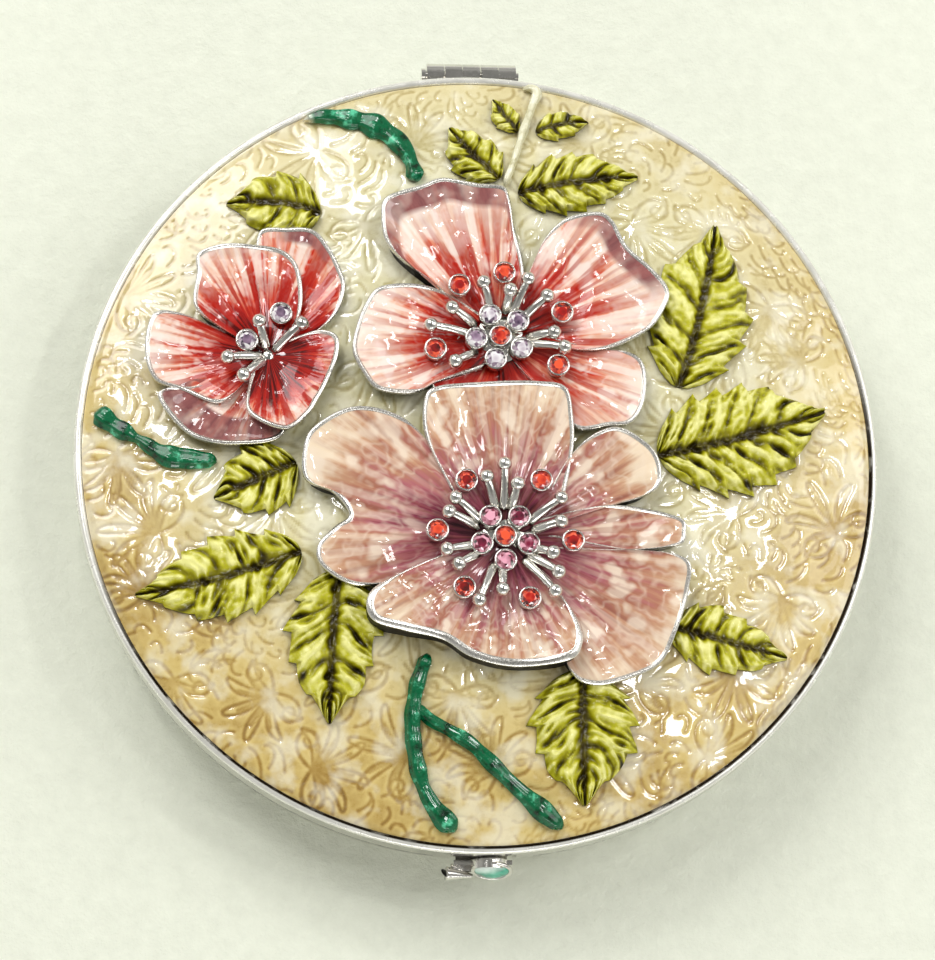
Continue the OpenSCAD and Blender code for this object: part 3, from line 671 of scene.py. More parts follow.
def embossed_scrolls():
    """Rasters of groove depth and of its contrast with the depth around: palmettes, curls between."""
    size = int(2 * PANEL_R / GROUND_STEP) + 2
    height = np.zeros((size, size))
    rng = np.random.default_rng(8)
    for x, y in scattered(rng, 8.0, 1.4):
        add_palmette(height, rng, x, y)
    for x, y in scattered(rng, 1.1, 0.3):
        column, row = int((x + PANEL_R) / GROUND_STEP), int((y + PANEL_R) / GROUND_STEP)
        if height[row - 5:row + 6, column - 5:column + 6].max(initial=0) < 0.2:
            flow = math.pi * float(ripple(x, y, 21, 9.0))
            path = curl_path(x, y, flow, rng.uniform(1.6, 3.2), rng.uniform(1.0, 3.6))
            stamp_line(height, path, 0.2, 0.8)
    fine = soften(height, 1)
    return fine, fine - 0.85 * soften(fine, 14)


def read_raster(height, x, y):
    """A raster's values at places, blended between its points."""
    column, row = (x + PANEL_R) / GROUND_STEP, (y + PANEL_R) / GROUND_STEP
    c0 = np.clip(column.astype(int), 0, len(height) - 2)
    r0 = np.clip(row.astype(int), 0, len(height) - 2)
    dc, dr = column - c0, row - r0
    low = height[r0, c0] * (1 - dc) + height[r0, c0 + 1] * dc
    high = height[r0 + 1, c0] * (1 - dc) + height[r0 + 1, c0 + 1] * dc
    return low * (1 - dr) + high * dr


def make_enamel_panel(material):
    """The cream panel, its embossing raised in the mesh."""
    count = PANEL_POINTS
    u, v = np.meshgrid(np.linspace(-1, 1, count), np.linspace(-1, 1, count))
    x = PANEL_R * u * np.sqrt(1 - v**2 / 2)
    y = PANEL_R * v * np.sqrt(1 - u**2 / 2)
    radius = np.hypot(x, y)
    rise, contrast = (read_raster(raster, x, y) for raster in embossed_scrolls())
    inside = ease(PANEL_R - radius, 0.0, 0.7)
    wave = ripple(x, y, 5, 2.2) * 0.035 + ripple(x, y, 6, 6.0) * 0.08
    z = dome(x, y) + inside * ((0.4 - rise) * GROUND_DEPTH + wave) - 0.12 * (1 - inside)
    shape = Shape()
    # rim: ochre towards the edge, leaning darker to the front and paler to the back as painted shade and
    # sheen.
    shape.add(np.stack([x, y, z], axis=-1), grid_faces(count, count),
              relief=0.5 - 0.43 * contrast, rim=ease(radius - 0.28 * y, 0.45 * PANEL_R, 1.05 * PANEL_R))
    border = grid_border(count, count)
    edge = np.stack([x.flat[border], y.flat[border]], axis=-1)
    rings = [np.column_stack([edge, z.flat[border]])]
    for share in (1.0, 0.75, 0.5, 0.25):
        inner = edge * share
        rings.append(np.column_stack([inner, dome(inner[:, 0], inner[:, 1]) - PANEL_T]))
    faces = grid_faces(len(rings), len(border), wrap_cols=True).tolist()
    faces.append([(len(rings) - 1) * len(border) + index for index in range(len(border))])
    shape.add(np.vstack(rings), [face[::-1] for face in faces], relief=0.4, rim=1.0)
    shape.build("cream_panel", [material], "lid", "cream_enamel", "enamel_panel")


def make_lip(material):
    """The rounded bright edge round the enamel."""
    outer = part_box("lid_shell")[1].x / MM
    inner = PANEL_R + LIP_GAP
    radius = (outer - inner) / 2
    angle = circle(20)
    turn = circle(480)
    from_axis = (outer + inner) / 2 + (radius + LIP_PROUD) * np.cos(angle)[:, None]
    height = PANEL_TOP.z - DOME_RISE + LIP_H - radius + (radius + LIP_PROUD) * np.sin(angle)[:, None]
    rings = np.stack([from_axis * np.cos(turn), from_axis * np.sin(turn), height + 0 * turn], axis=-1)
    # Painted shade along the seam: strongest at the front, gone towards the back.
    seam = ease(inner + SEAM_W - from_axis, 0.0, 0.06) * ease(-np.sin(turn - 0.3), -0.25, 0.3)
    faces = grid_faces(len(angle), len(turn), wrap_rows=True, wrap_cols=True)
    shape = Shape()
    shape.add(rings, faces[:, ::-1], tarnish=seam)
    shape.build("lid_lip", [material], "lid", "polished_silver")


def make_parting_line(material):
    """A black line of painted shade along the top edge of the pan, in the seam under the lid."""
    shape = Shape()
    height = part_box("lid_shell")[0].z / MM - 0.2
    for arc in PARTING_ARCS:
        angle = np.radians(np.linspace(*arc, 160))
        x, y = PARTING_R * np.cos(angle), PARTING_R * np.sin(angle)
        path = np.stack([x, y, height + 0 * angle], axis=1)
        add_sweep(shape, path, 0.18, 0.15, sides=8)
    shape.build("parting_line", [material], "base", "polished_silver")


# ---- flowers

RAYS = 170                      # rays across a petal
BLADE_ROWS = 50                 # rows from the flower's centre to the rim
RIM_STEPS = (0.60, 0.48, 0.38, 0.29, 0.19, 0.10, 0.03, 0.0)   # distances from the edge
CREASE_HALF = 7.5               # degrees to each side of a crease's bottom
METAL, DARK = 1, 2              # material numbers of a petal's rim and of its root, whose black is painted shade


def turn_from(bearing, degrees):
    """Degrees from a direction to each bearing, between -180 and 180."""
    return (np.degrees(bearing) - degrees + 180) % 360 - 180


def petal_rows(slant, rim_w):
    """Shares of the way from the flower's centre to the edge, crowded at the bare rim."""
    steps = np.array(RIM_STEPS) * rim_w / RIM_W
    rows = [np.full(RAYS, 0.05) + (1 - steps[0] / slant - 0.05) * part
            for part in np.linspace(0, 1, BLADE_ROWS, endpoint=False)]
    rows += [1 - step / slant for step in steps]
    return np.clip(np.stack(rows), 0.02, 1)


def creased(height, far, bearing, creases):
    """Presses valleys into a petal."""
    for degrees, depth in creases:
        near = np.exp(-(turn_from(bearing, degrees) / CREASE_HALF)**2)
        height = height - depth * near * ease(far, 0.2, 0.8)
    return height


def folded(height, t, bearing, folds):
    """Turns parts of a petal's edge back, and says where."""
    fold = np.zeros_like(t)
    for degrees, half, rise, depth in folds:
        near = ease(half - np.abs(turn_from(bearing, degrees)), -2, 8)
        begin = 1 - depth * (0.75 + 0.25 * near)
        height = height + rise * near * (ease(t, begin - 0.12, begin) - 1.3 * ease(t, begin, 1.0))
        fold = np.maximum(fold, near * ease(t, begin - 0.02, begin + 0.02))
    return height, fold


def add_petal_shell(shape, top, height, gap, hang, plate, **fields):
    """A petal's top with its bare rim, its slim edge, and its root below, coloured black as painted shade.
    """
    rows = len(top)
    under_rows = np.concatenate([np.arange(rows - 1, BLADE_ROWS - 1, -1), [BLADE_ROWS - 4, 20, 0]])
    under = top[under_rows].copy()
    deep = height[under_rows] - 0.03
    under[..., 2] -= np.where(gap[under_rows] < hang, np.minimum(plate, deep), deep)
    points = np.concatenate([top, under])
    faces = grid_faces(len(points), RAYS, wrap_rows=True)
    row_of = np.arange(len(faces)) // (RAYS - 1)
    slots = np.zeros(len(faces), int)
    slots[row_of >= rows - 6] = METAL
    slots[row_of >= rows + 1] = DARK
    side = [row * RAYS for row in range(len(points))]
    caps = [side, [index + RAYS - 1 for index in side][::-1]]
    both = {key: np.concatenate([values, values[under_rows]]) for key, values in fields.items()}
    shape.add(points, faces.tolist() + caps, np.concatenate([slots, [DARK, DARK]]), **both)


def add_petal(shape, centre, outline, seed, lift=1.5, tilt=0.0, cup=0.5, ruffle=0.25, raised=0.0,
              creases=(), folds=(), lip=0.0, reach=None, rim_w=RIM_W, hang=0.45, plate=EDGE_T,
              blush=0.0):
    """One enamelled petal of a casting, on rays from the flower's centre to its outline.

    lift is the edge's height over the centre's, tilt raises one side and lowers the other, cup
    raises both sides, creases are (degrees, depth) valleys, folds are (degrees, half width, height,
    depth) where the edge is turned back, lip turns the whole edge down, rim_w is the width of its
    bare metal, hang is how far the edge stands out over the root below it, coloured black as
    painted shade, plate is the edge's thickness, and blush draws the centre's colours further out.
    """
    edge = smooth_line(outline, RAYS)
    length = np.linalg.norm(edge, axis=1)
    angle = np.unwrap(np.arctan2(edge[:, 1], edge[:, 0]))
    along = np.gradient(edge, axis=0)
    along /= np.linalg.norm(along, axis=1)[:, None]
    square = np.abs(along[:, 0] * edge[:, 1] - along[:, 1] * edge[:, 0]) / length
    slant = np.clip(square, 0.45, 1) * length
    middle = (angle.max() + angle.min()) / 2
    wide = (angle - middle) / (angle.max() - angle.min()) * 2
    t = petal_rows(slant, rim_w)
    gap = (1 - t) * slant
    far = t * length / (reach or np.percentile(length, 92))
    bearing = np.broadcast_to(angle, t.shape)
    x, y = centre[0] + t * edge[:, 0], centre[1] + t * edge[:, 1]

    height = PETAL_LOW + raised + lift * far**1.7 + tilt * wide * far + cup * wide**2 * far**2
    height = height - 0.34 * np.exp(-(wide / 0.42)**2) * np.sin(math.pi * np.clip(far, 0, 1))
    height = height + ruffle * ripple(bearing * 6, t * 1.5, seed, 2.2) * ease(t, 0.35, 1)
    grooves = ripple(bearing * 9, t * 0.7, seed + 50, 0.25, 9)
    height = height + 0.008 * grooves * ease(far, 0.15, 0.5) * ease(gap, 0.3, 1.2)
    groove = ease(-grooves, 0.35, 1.4) * ease(far, 0.12, 0.4)
    height, fold = folded(creased(height, far, bearing, creases), t, bearing, folds)
    swell = 0.07 * ripple(x, y, seed + 80, 1.3) + 0.12 * ripple(x, y, seed + 90, 2.6)
    height = height + swell * ease(far, 0.2, 0.5) * ease(gap, 0.1, 1.2)
    rim = ease(rim_w * 1.15 - gap, 0.0, 0.16) * (1 - ease(0.14 - gap, 0.0, 0.14) * 0.9)
    height = np.maximum(height + 0.16 * rim - lip * ease(1.0 - gap, 0.0, 1.0)**2, 0.3)
    top = np.stack([x, y, dome(x, y) + height], axis=-1)
    add_petal_shell(shape, top, height, gap, hang, plate, reach=far - blush, bearing=bearing,
                    fold=fold, groove=groove, tone=np.full(t.shape, float(seed)))


FRONT_PETALS = [
    dict(lift=1.5, cup=0.35, tilt=0.1, raised=0.12, ruffle=0.22, outline=[
        (5.2, 3.6), (6, 7.6), (6, 10.4), (5.4, 13), (3, 13.5), (-1.5, 13.4), (-5.6, 13), (-6.8, 11.8),
        (-6.7, 8.6), (-4.6, 4.2)]),
    dict(lift=1.5, cup=0.3, tilt=0.25, ruffle=0.2, outline=[
        (3, 1.6), (6, 7.4), (9.4, 9.6), (12.4, 8.2), (13.5, 6.2), (13, 4.2), (9.6, 3), (4.6, 1.4)]),
    dict(lift=1.3, cup=0.5, raised=0.1, ruffle=0.12, outline=[
        (3.4, 1.8), (8.6, 2.9), (12.4, 2.6), (15.2, 1.8), (15.6, 0.7), (14.8, -0.6), (10, -1),
        (3.6, -0.8)]),
    dict(lift=1.45, cup=0.3, tilt=0.2, ruffle=0.24, creases=[(322, 0.35), (343, 0.25)], outline=[
        (4.6, 0.2), (10, -0.9), (15.4, -1.7), (15.7, -4.4), (14.6, -8), (13.2, -10.6), (10.4, -12),
        (7.6, -12.6), (5.6, -11.6), (4.6, -8), (3, -3)]),
    dict(lift=2.35, cup=0.2, tilt=-0.1, raised=0.3, ruffle=0.16, lip=0.25, rim_w=0.6, hang=0.06, plate=0.1,
         outline=[
        (4, -3.6), (6.2, -7.4), (6.3, -9.6), (5, -10.9), (0.6, -11.3), (-3, -10.5), (-5.4, -9),
        (-8.6, -8.4), (-11.4, -7.6), (-11.8, -5.6), (-9.8, -3.8), (-4.2, -1)]),
    dict(lift=1.5, cup=0.3, tilt=-0.2, raised=0.05, ruffle=0.26, creases=[(172, 0.45)], outline=[
        (-3, -2), (-7, -2.9), (-9.8, -4), (-13, -4.2), (-15.6, -2.6), (-15.9, -0.8), (-14.4, 0.9),
        (-13.2, 2), (-14.6, 3.8), (-16.9, 4.8), (-17.2, 7), (-16.3, 9.3), (-12.8, 11.2), (-8.8, 10.4),
        (-6, 7.6), (-3.6, 3.6)]),
]

MIDDLE_PETALS = [
    dict(lift=1.5, cup=0.3, tilt=0.1, ruffle=0.24, blush=-0.06, folds=[(112, 34, 0.3, 0.15)], outline=[
        (2.4, 2.6), (2.2, 7), (1.5, 10.6), (1.2, 13), (0.6, 14.2), (-1.7, 14.4), (-4.7, 14.7),
        (-6.7, 13.9), (-9.7, 12.7), (-10.2, 11), (-9.8, 8.6), (-8.2, 6.8), (-6, 5.2), (-2.6, 1.6)]),
    dict(lift=1.5, cup=0.35, tilt=0.1, ruffle=0.24, raised=0.1, folds=[(38, 22, 0.3, 0.13)], outline=[
        (1.6, 2.8), (3.6, 8.2), (4.9, 10.2), (6.4, 11.3), (8.9, 11.8), (10.2, 11), (11.4, 8.7),
        (13.4, 6.7), (14.8, 4.8), (14.6, 3.2), (12.8, 0.8), (8.6, -1), (3.4, -0.6)]),
    dict(lift=1.2, cup=0.2, tilt=0.1, ruffle=0.18, outline=[
        (3.2, 0.6), (8.4, -0.8), (11.4, -1.2), (12.6, -2.6), (12.4, -5.6), (11.2, -7.6), (9.2, -8),
        (6.6, -8.2), (4.6, -6), (1.6, -2.6)]),
    dict(lift=0.8, cup=0, ruffle=0.1, raised=-0.2, rim_w=0.1, reach=13.5, outline=[
        (3.6, 0.6), (6.4, -3.4), (4, -6.2), (-3, -6.2), (-6, -3.8), (-3.4, 0.4)]),
    dict(lift=1.4, cup=0.3, tilt=0.1, ruffle=0.22, outline=[
        (-1.6, -2.8), (-5.6, -4.2), (-7.6, -5.2), (-10.6, -5), (-11.9, -3.6), (-12.8, -1.6), (-12.4, 0.8),
        (-11.6, 2.9), (-10.4, 4.4), (-7.6, 4.8), (-5, 4.2), (-1.8, 2.4)]),
]

SIDE_PETALS = [
    dict(lift=1.2, cup=0.3, tilt=0.2, ruffle=0.2, raised=-0.1, blush=0.2, folds=[(72, 16, 0.2, 0.12)],
         outline=[
        (1.6, 0.8), (4.2, 2.2), (5.9, 3.8), (6.6, 6.2), (6.1, 8), (5.2, 9.8), (3.8, 11.3), (1.6, 11.5),
        (-0.8, 11.2), (-1, 8), (-0.6, 3)]),
    dict(lift=1.5, cup=0.4, tilt=0.1, ruffle=0.22, raised=0.15, blush=0.12, outline=[
        (1.4, 1.6), (2.8, 4), (2.6, 7.6), (1.2, 9.4), (-1.4, 9.9), (-4, 10), (-6.1, 9.2), (-6.2, 7.4),
        (-6.4, 4.4), (-4.4, 2.6), (-1.4, 0.8)]),
    dict(lift=1.6, cup=0.4, tilt=0.2, ruffle=0.2, raised=0.1, blush=0.1, outline=[
        (-1, 1.2), (-4.4, 2.6), (-8, 4), (-10, 3.6), (-10.6, 0.4), (-9.8, -2.2), (-7.4, -3.2),
        (-4.2, -4.4), (-1.6, -2)]),
    dict(lift=1.1, cup=0.2, ruffle=0.14, folds=[(232, 48, 0.1, 0.3)], outline=[
        (-1.8, -1.6), (-6.2, -3), (-9.4, -3.4), (-8.2, -5.8), (-6, -7.6), (-2.6, -8.1), (1.2, -7.2),
        (0.6, -2.4)]),
    dict(lift=1.5, cup=0.15, tilt=-0.15, ruffle=0.18, raised=0.15, blush=0.3, outline=[
        (1.2, 1.2), (4.2, 2), (5.8, 1.4), (5.9, -0.2), (5.2, -2.2), (4.2, -4.2), (3.2, -5.8), (1.2, -7.1),
        (-1.8, -5.4), (-1.6, -1.8)]),
]


def make_flower(name, centre, petals, materials, slot, seed):
    """All petals of one flower, each with its own seed."""
    shape = Shape()
    for number, petal in enumerate(petals):
        add_petal(shape, centre, seed=seed + number, **petal)
    shape.build(name + "_petals", materials, "lid", slot, name + "_flower")


# ---- stamens, cups and crystals

FRONT_STAMENS = [(90, 6.2), (76, 4.6), (34, 5.8), (107, 5.3), (143, 5.3), (158, 5.2), (195, 5.2), (213, 4.8),
                 (248, 6.2), (266, 4.8), (324, 5.5), (310, 6.4), (14, 4.9), (339, 4.3)]
MIDDLE_STAMENS = [(151, 4.8), (173, 6.1), (107, 4.9), (78, 4.1), (64, 5.6), (41, 5.4), (3, 4.6), (349, 5.6),
                  (212, 4.7)]
SIDE_STAMENS = [(108, 2.8), (42, 3.75), (190, 3.6), (225, 3.1)]
FRONT_RED = [(356, 5.8), (57, 5.8), (124, 5.8), (176, 5.8), (232, 5.8), (290, 5.8)]
MIDDLE_RED = [(22, 5.8), (86, 5.7), (128, 5.7), (193, 5.8), (332, 5.6)]
SIDE_CLEAR = [(74, 3.7), (149, 2.2)]
BEAD_R = 0.64
FILAMENT_R = 0.42
BEAD_Z = 2.15                   # over the enamel at the flower's centre
WIRE_Z = 0.8                    # where a wire starts


def polar(centre, degrees, radius):
    """A place at a bearing and distance from a flower's centre."""
    angle = math.radians(degrees)
    return centre[0] + radius * math.cos(angle), centre[1] + radius * math.sin(angle)


def flower_plane(centre):
    """Height of the lid's enamel at a flower's centre."""
    return float(dome(*centre))


def make_stamens(name, centre, stamens, hub_r, material):
    """Tapered wires that arch from the hub to a bead, over a domed hub."""
    shape = Shape()
    base = flower_plane(centre)
    hub = [(hub_r * 0.98, 0.1), (hub_r, 0.5), (hub_r * 0.9, 0.72), (hub_r * 0.55, 0.86), (0.02, 0.9)]
    add_lathe(shape, hub, (*centre, base), sides=48)
    for degrees, radius in stamens:
        part = np.linspace(0, 1, 15)
        start = hub_r * 1.12
        distance = start + (radius - start) * part
        angle = math.radians(degrees)
        height = base + WIRE_Z + (BEAD_Z - WIRE_Z) * (1 - (1 - part)**1.8)
        path = np.stack([centre[0] + distance * math.cos(angle),
                         centre[1] + distance * math.sin(angle), height], axis=1)
        width = FILAMENT_R * (1.1 - 0.3 * part + 0.2 * np.exp(-((1 - part) / 0.08)**2))
        add_sweep(shape, path, width, width, sides=12)
        add_lathe(shape, ball_profile(BEAD_R), path[-1], sides=20)
    shape.build(name + "_stamen_wires", [material], "lid", "polished_silver", name + "_stamens")


CUP_PROFILE = [(0.72, 0.0), (0.98, 0.0), (1.0, 0.3), (1.0, 0.62), (0.985, 0.72), (0.94, 0.79), (0.87, 0.80),
               (0.82, 0.77), (0.80, 0.70), (0.79, 0.45), (0.5, 0.4), (0.02, 0.4)]
POST_PROFILE = [(0.34, -0.75), (0.38, -0.2), (0.5, 0.0)]
SEAT_Z = 0.44                   # foot of a crystal over the foot of its cup
TABLE, CROWN, GIRDLE, FOOT = (0.42, 0.40), (0.60, 0.27), (0.785, 0.08), (0.76, 0.02)   # radius, height


def petal_places(centre, places):
    """Where cups stand on the petals, from (degrees, radius) round the flower's centre."""
    base = flower_plane(centre) + 0.85
    return [(*polar(centre, degrees, radius), base + 0.012 * radius**2) for degrees, radius in places]


def heart_places(centre, ring_first):
    """Where the centre cup stands, and the ring of five round it."""
    base = flower_plane(centre)
    ring = [(*polar(centre, ring_first + 72 * number, RING_R), base + 0.98) for number in range(5)]
    return (*centre, base + 1.08), ring


def make_cups(name, places, material):
    """Milled bezels on short posts."""
    shape = Shape()
    for place_at in places:
        add_lathe(shape, POST_PROFILE, place_at, sides=16)
        add_lathe(shape, CUP_PROFILE, place_at, sides=36)
    shape.build(name + "_bezels", [material], "lid", "polished_silver", name + "_cups")


def add_crystal(shape, centre, turn, rng):
    """A round brilliant's crown: table, stars, kites and girdle facets."""
    def ring(radius, height, count, offset=0.0):
        angle = np.arange(count) * 2 * math.pi / count + offset + turn
        level = np.full(count, height)
        return np.stack([radius * np.cos(angle), radius * np.sin(angle), level], axis=1)

    table, crown = ring(*TABLE, 8), ring(*CROWN, 8, math.pi / 8)
    girdle, foot = ring(*GIRDLE, 16), ring(*FOOT, 16)
    facets = [table]
    for k in range(8):
        after = (k + 1) % 8
        facets.append(np.array([table[k], crown[k], table[after]]))
        facets.append(np.array([table[k], crown[k - 1], girdle[2 * k], crown[k]]))
        facets.append(np.array([crown[k], girdle[2 * k], girdle[2 * k + 1]]))
        facets.append(np.array([crown[k], girdle[2 * k + 1], girdle[(2 * k + 2) % 16]]))
    for k in range(16):
        after = (k + 1) % 16
        facets.append(np.array([girdle[k], foot[k], foot[after], girdle[after]]))
    facets.append(foot[::-1])
    for facet in facets:
        shape.add(facet + centre, [range(len(facet))], spark=rng.uniform(0, 1))


# Dark, middle and bright tone of each colour; the facets spread over them as painted reflection and glint.
CRYSTAL_TONES = {
    "red": ((84, 1, 0), (184, 10, 3), (255, 92, 52)),
    "pink": ((44, 3, 22), (134, 22, 58), (246, 176, 196)),
    "clear": ((52, 34, 60), (158, 130, 154), (255, 252, 252)),
}


def make_crystals(colour, places, seed):
    """All crystals of one colour, each turned its own way in its cup."""
    rng = np.random.default_rng(seed)
    shape = Shape()
    for x, y, z in places:
        add_crystal(shape, (x, y, z + SEAT_Z), rng.uniform(0, 1), rng)
    slot = colour + "_crystal"
    material = crystal_material(slot, *CRYSTAL_TONES[colour])
    shape.build(colour + "_stones", [material], "lid", slot, colour + "_crystals", flat=True)


# ---- leaves

LEAVES = {
    "leaf_upper_left": dict(base=(-13.8, 21.2), tip=(-22, 22.2), width=6.4, bow=-0.5, teeth=4),
    "leaf_fern_left": dict(base=(1.9, 24.6), tip=(-2.4, 29.6), width=4.6, bow=0.2, teeth=4),
    "leaf_fern_top": dict(base=(3.7, 29.4), tip=(1.6, 32.6), width=2.4, bow=0.1, teeth=3),
    "leaf_fern_right": dict(base=(5.4, 29.4), tip=(10.2, 30.6), width=2.8, bow=0.2, teeth=3),
    "leaf_upper_right": dict(base=(3.6, 23.2), tip=(14.4, 25.2), width=5.8, bow=0.3, teeth=6),
    "leaf_right_tall": dict(base=(17.2, 5.4), tip=(21.2, 20.9), width=8.8, bow=-0.4, teeth=6),
    "leaf_right_wide": dict(base=(15.2, -0.9), tip=(30.4, 3.9), width=9.6, bow=-0.4, teeth=7),
    "leaf_lower_right": dict(base=(15.6, -15.8), tip=(26.2, -18.2), width=5.6, bow=0.0, teeth=5),
    "leaf_bottom": dict(base=(8.2, -19.6), tip=(8.4, -31), width=9, bow=0.0, teeth=5),
    "leaf_lower_left_long": dict(base=(-15.6, -9.6), tip=(-29.6, -13), width=7.2, bow=0.5, teeth=6),
    "leaf_lower_left_down": dict(base=(-12.4, -11.2), tip=(-13.2, -24.2), width=7.8, bow=-0.2, teeth=5),
    "leaf_left_small": dict(base=(-16, -1.9), tip=(-23, -4.8), width=6.4, bow=0.0, teeth=4),
}
LEAF_ROWS = 150
LEAF_COLS = 53


def leaf_across(leaf, t, v, seed):
    """How far to the side each point lies: a toothed outline that narrows to the tip."""
    shoulder = np.sin(math.pi * np.clip(t, 0, 1)**0.78)**0.8
    half = leaf["width"] / 2 * (0.06 + 0.94 * shoulder) * (1 - 0.45 * ease(t, 0.72, 1.0))
    phase = (t - 0.02) * leaf["teeth"]
    saw = phase - np.floor(phase)
    bite = 1 + 0.2 * (saw**1.5 - 0.55) * ease(t, 0.05, 0.2) * ease(1 - t, 0.02, 0.15)
    uneven = 1 + 0.05 * ripple(t * 5, np.sign(v), seed, 1.0)
    return v * half * (1 + (bite - 1) * np.abs(v)**3) * uneven


def leaf_relief(leaf, length, t, v, across, seed):
    """Height over the lid, then how much each point is vein and how high it lies, both 0 to 1."""
    size = leaf["width"] / 8
    slant = 0.30 * leaf["width"] / length * np.abs(v)**1.3
    wander = 0.14 * ripple(t * length, across, seed + 40, 2.4)
    vein_at = (t - slant) * leaf["teeth"] + 0.15 + 0.08 * np.sign(v) + wander
    ridge = np.abs(np.sin(math.pi * vein_at))
    body = ease(1 - np.abs(v), 0.0, 0.2)
    near_tip = ease(1 - t, 0.0, 0.4)
    crown = 0.38 + (0.42 + 0.22 * size) * body * (1 - 0.55 * ease(t, 0.8, 1.0)) * ease(t, -0.05, 0.12)
    pillow = 0.54 * size**0.5 * (ridge**0.8 - 0.6) * body * ease(np.abs(v), 0.05, 0.3)
    midrib = np.exp(-(across / ((0.40 * size**0.5 + 0.1) * (0.35 + 0.65 * near_tip)))**2)
    spine = np.exp(-(across / 0.17)**2) * near_tip
    height = crown + pillow - (0.50 * size**0.5 + 0.05) * midrib + 0.16 * spine
    lengthwise = vein_at * length / leaf["teeth"]
    crumple = (0.26 * (0.5 - np.abs(ripple(lengthwise * 1.5, across * 0.8, seed + 9, 0.9)))
               + 0.06 * ripple(t * length, across, seed + 19, 0.4))
    strokes = 0.075 * np.sin(6 * math.pi * vein_at + 1.5 * ripple(t * length, across, seed + 60, 1.1))
    folds = (crumple + strokes * ease(np.abs(v), 0.1, 0.4)) * size**0.5
    vein = np.maximum(0.92 * ease(midrib, 0.4, 0.95) * (1 - 0.5 * spine),
                      0.3 * ease(0.5 - ridge - 0.3 * np.abs(v), 0.0, 0.35)
                      * ease(np.abs(v), 0.02, 0.1) * ease(0.98 - np.abs(v), 0, 0.2))
    # level says how high a point lies; the leaf's material paints it as highlight and shade.
    level = ease((pillow + folds) / size**0.5 - 0.4 * midrib, -0.85, 0.4)
    return height + folds * body, vein, level


def make_leaf(node, leaf, material, seed):
    """A toothed blade: pillows between slanting veins, and a deep groove along the midrib."""
    base, tip = np.array(leaf["base"], float), np.array(leaf["tip"], float)
    length = np.linalg.norm(tip - base)
    ahead = (tip - base) / length
    aside = np.array([-ahead[1], ahead[0]])
    t = np.linspace(0, 1, LEAF_ROWS)[:, None]
    even = np.linspace(-1, 1, LEAF_COLS)[None, :]
    v = np.sign(even) * np.abs(even)**1.25
    across = leaf_across(leaf, t, v, seed)
    height, vein, level = leaf_relief(leaf, length, t, v, across, seed)
    bow = leaf["bow"] * 4 * t * (1 - t)
    spot = base + t[..., None] * length * ahead + (across + bow)[..., None] * aside
    x, y = spot[..., 0], spot[..., 1]
    top = np.stack([x, y, dome(x, y) + np.maximum(height, 0.12)], axis=-1)
    under = np.stack([x, y, dome(x, y) + 0.05], axis=-1)
    grid = grid_faces(LEAF_ROWS, LEAF_COLS)
    step = LEAF_ROWS * LEAF_COLS
    border = grid_border(LEAF_ROWS, LEAF_COLS)
    after = np.roll(border, -1)
    wall = np.stack([border, border + step, after + step, after], axis=1)
    shape = Shape()
    shape.add(np.concatenate([top, under]), np.vstack([grid, grid[:, ::-1] + step, wall]),
              vein=np.concatenate([vein, 0 * vein]), level=np.concatenate([level, 0 * level]))
    shape.build(node + "_blade", [material], "lid", "green_enamel", node)


# ---- stems

STEM_T = 1.1
STEMS = {
    "stem_top": [
        dict(bare_to=0.05, half=[0.25, 0.6, 0.95, 1.1, 0.95, 0.8, 0.75], route=[
            (-15.2, 30.4), (-13.3, 30.7), (-11.4, 30.5), (-9.2, 29.9), (-7.3, 28.6), (-6, 26.7),
            (-5.3, 24.3)]),
    ],
    "stem_left": [
        dict(half=[0.8, 0.75, 0.6, 0.8, 0.9, 0.5], route=[
            (-33.1, 3.2), (-31.4, 1.8), (-29.2, 0.4), (-27.2, -0.9), (-25.1, -1.3), (-22.8, -1.6)]),
    ],
    "stem_forked": [
        dict(half=[0.6, 0.7, 0.75, 0.7, 0.7, 0.75, 0.8], route=[
            (-4.9, -18.4), (-5.5, -20), (-6, -21.9), (-6.2, -24.8), (-5.6, -28.6), (-4.5, -31),
            (-2.6, -33.2)]),
        dict(half=[0.4, 0.55, 0.6, 0.7, 0.65, 0.7, 0.75, 0.8], route=[
            (-6, -22.6), (-4.8, -23.9), (-3, -24.9), (-1.2, -26), (0.7, -27.8), (2.4, -29.4),
            (4.5, -31.2), (6.5, -32.9)]),
    ],
    "stem_fern": [
        dict(half=[0.3, 0.35, 0.4, 0.36, 0.36, 0.34, 0.3], route=[
            (2.4, 24), (3.3, 26.5), (4.3, 29.6), (5.2, 32.2), (5.6, 33.4), (5.1, 33.9), (4.4, 33.8)]),
    ],
}


def make_stem(node, branches, material, slot, seed):
    """Knobbly twigs with ridges along them, flattened against the lid."""
    shape = Shape()
    for number, branch in enumerate(branches):
        rows = 90
        line = smooth_line(np.column_stack([branch["route"], branch["half"]]), rows)
        part = np.linspace(0, 1, rows)
        knots = 1 + 0.16 * ripple(part * 9, 0.0 * part, seed + number, 0.8)
        ends = np.sqrt(np.clip(np.minimum(part, 1 - part) * 22, 0.02, 1))
        across = line[:, 2] * knots * ends
        up = np.minimum(STEM_T / 2, 0.35 + 0.35 * line[:, 2]) * ends * (0.5 + 0.5 * knots)
        z = dome(line[:, 0], line[:, 1]) + 0.04 + up * 0.8
        bare = ease(branch["bare_to"] - part, -0.03, 0.03) if "bare_to" in branch else 0.0
        add_sweep(shape, np.column_stack([line[:, :2], z]), across, up, sides=30, flute=0.09, bare=bare)
    shape.build(node + "_twig", [material], "lid", slot, node)


# ---- thumb piece

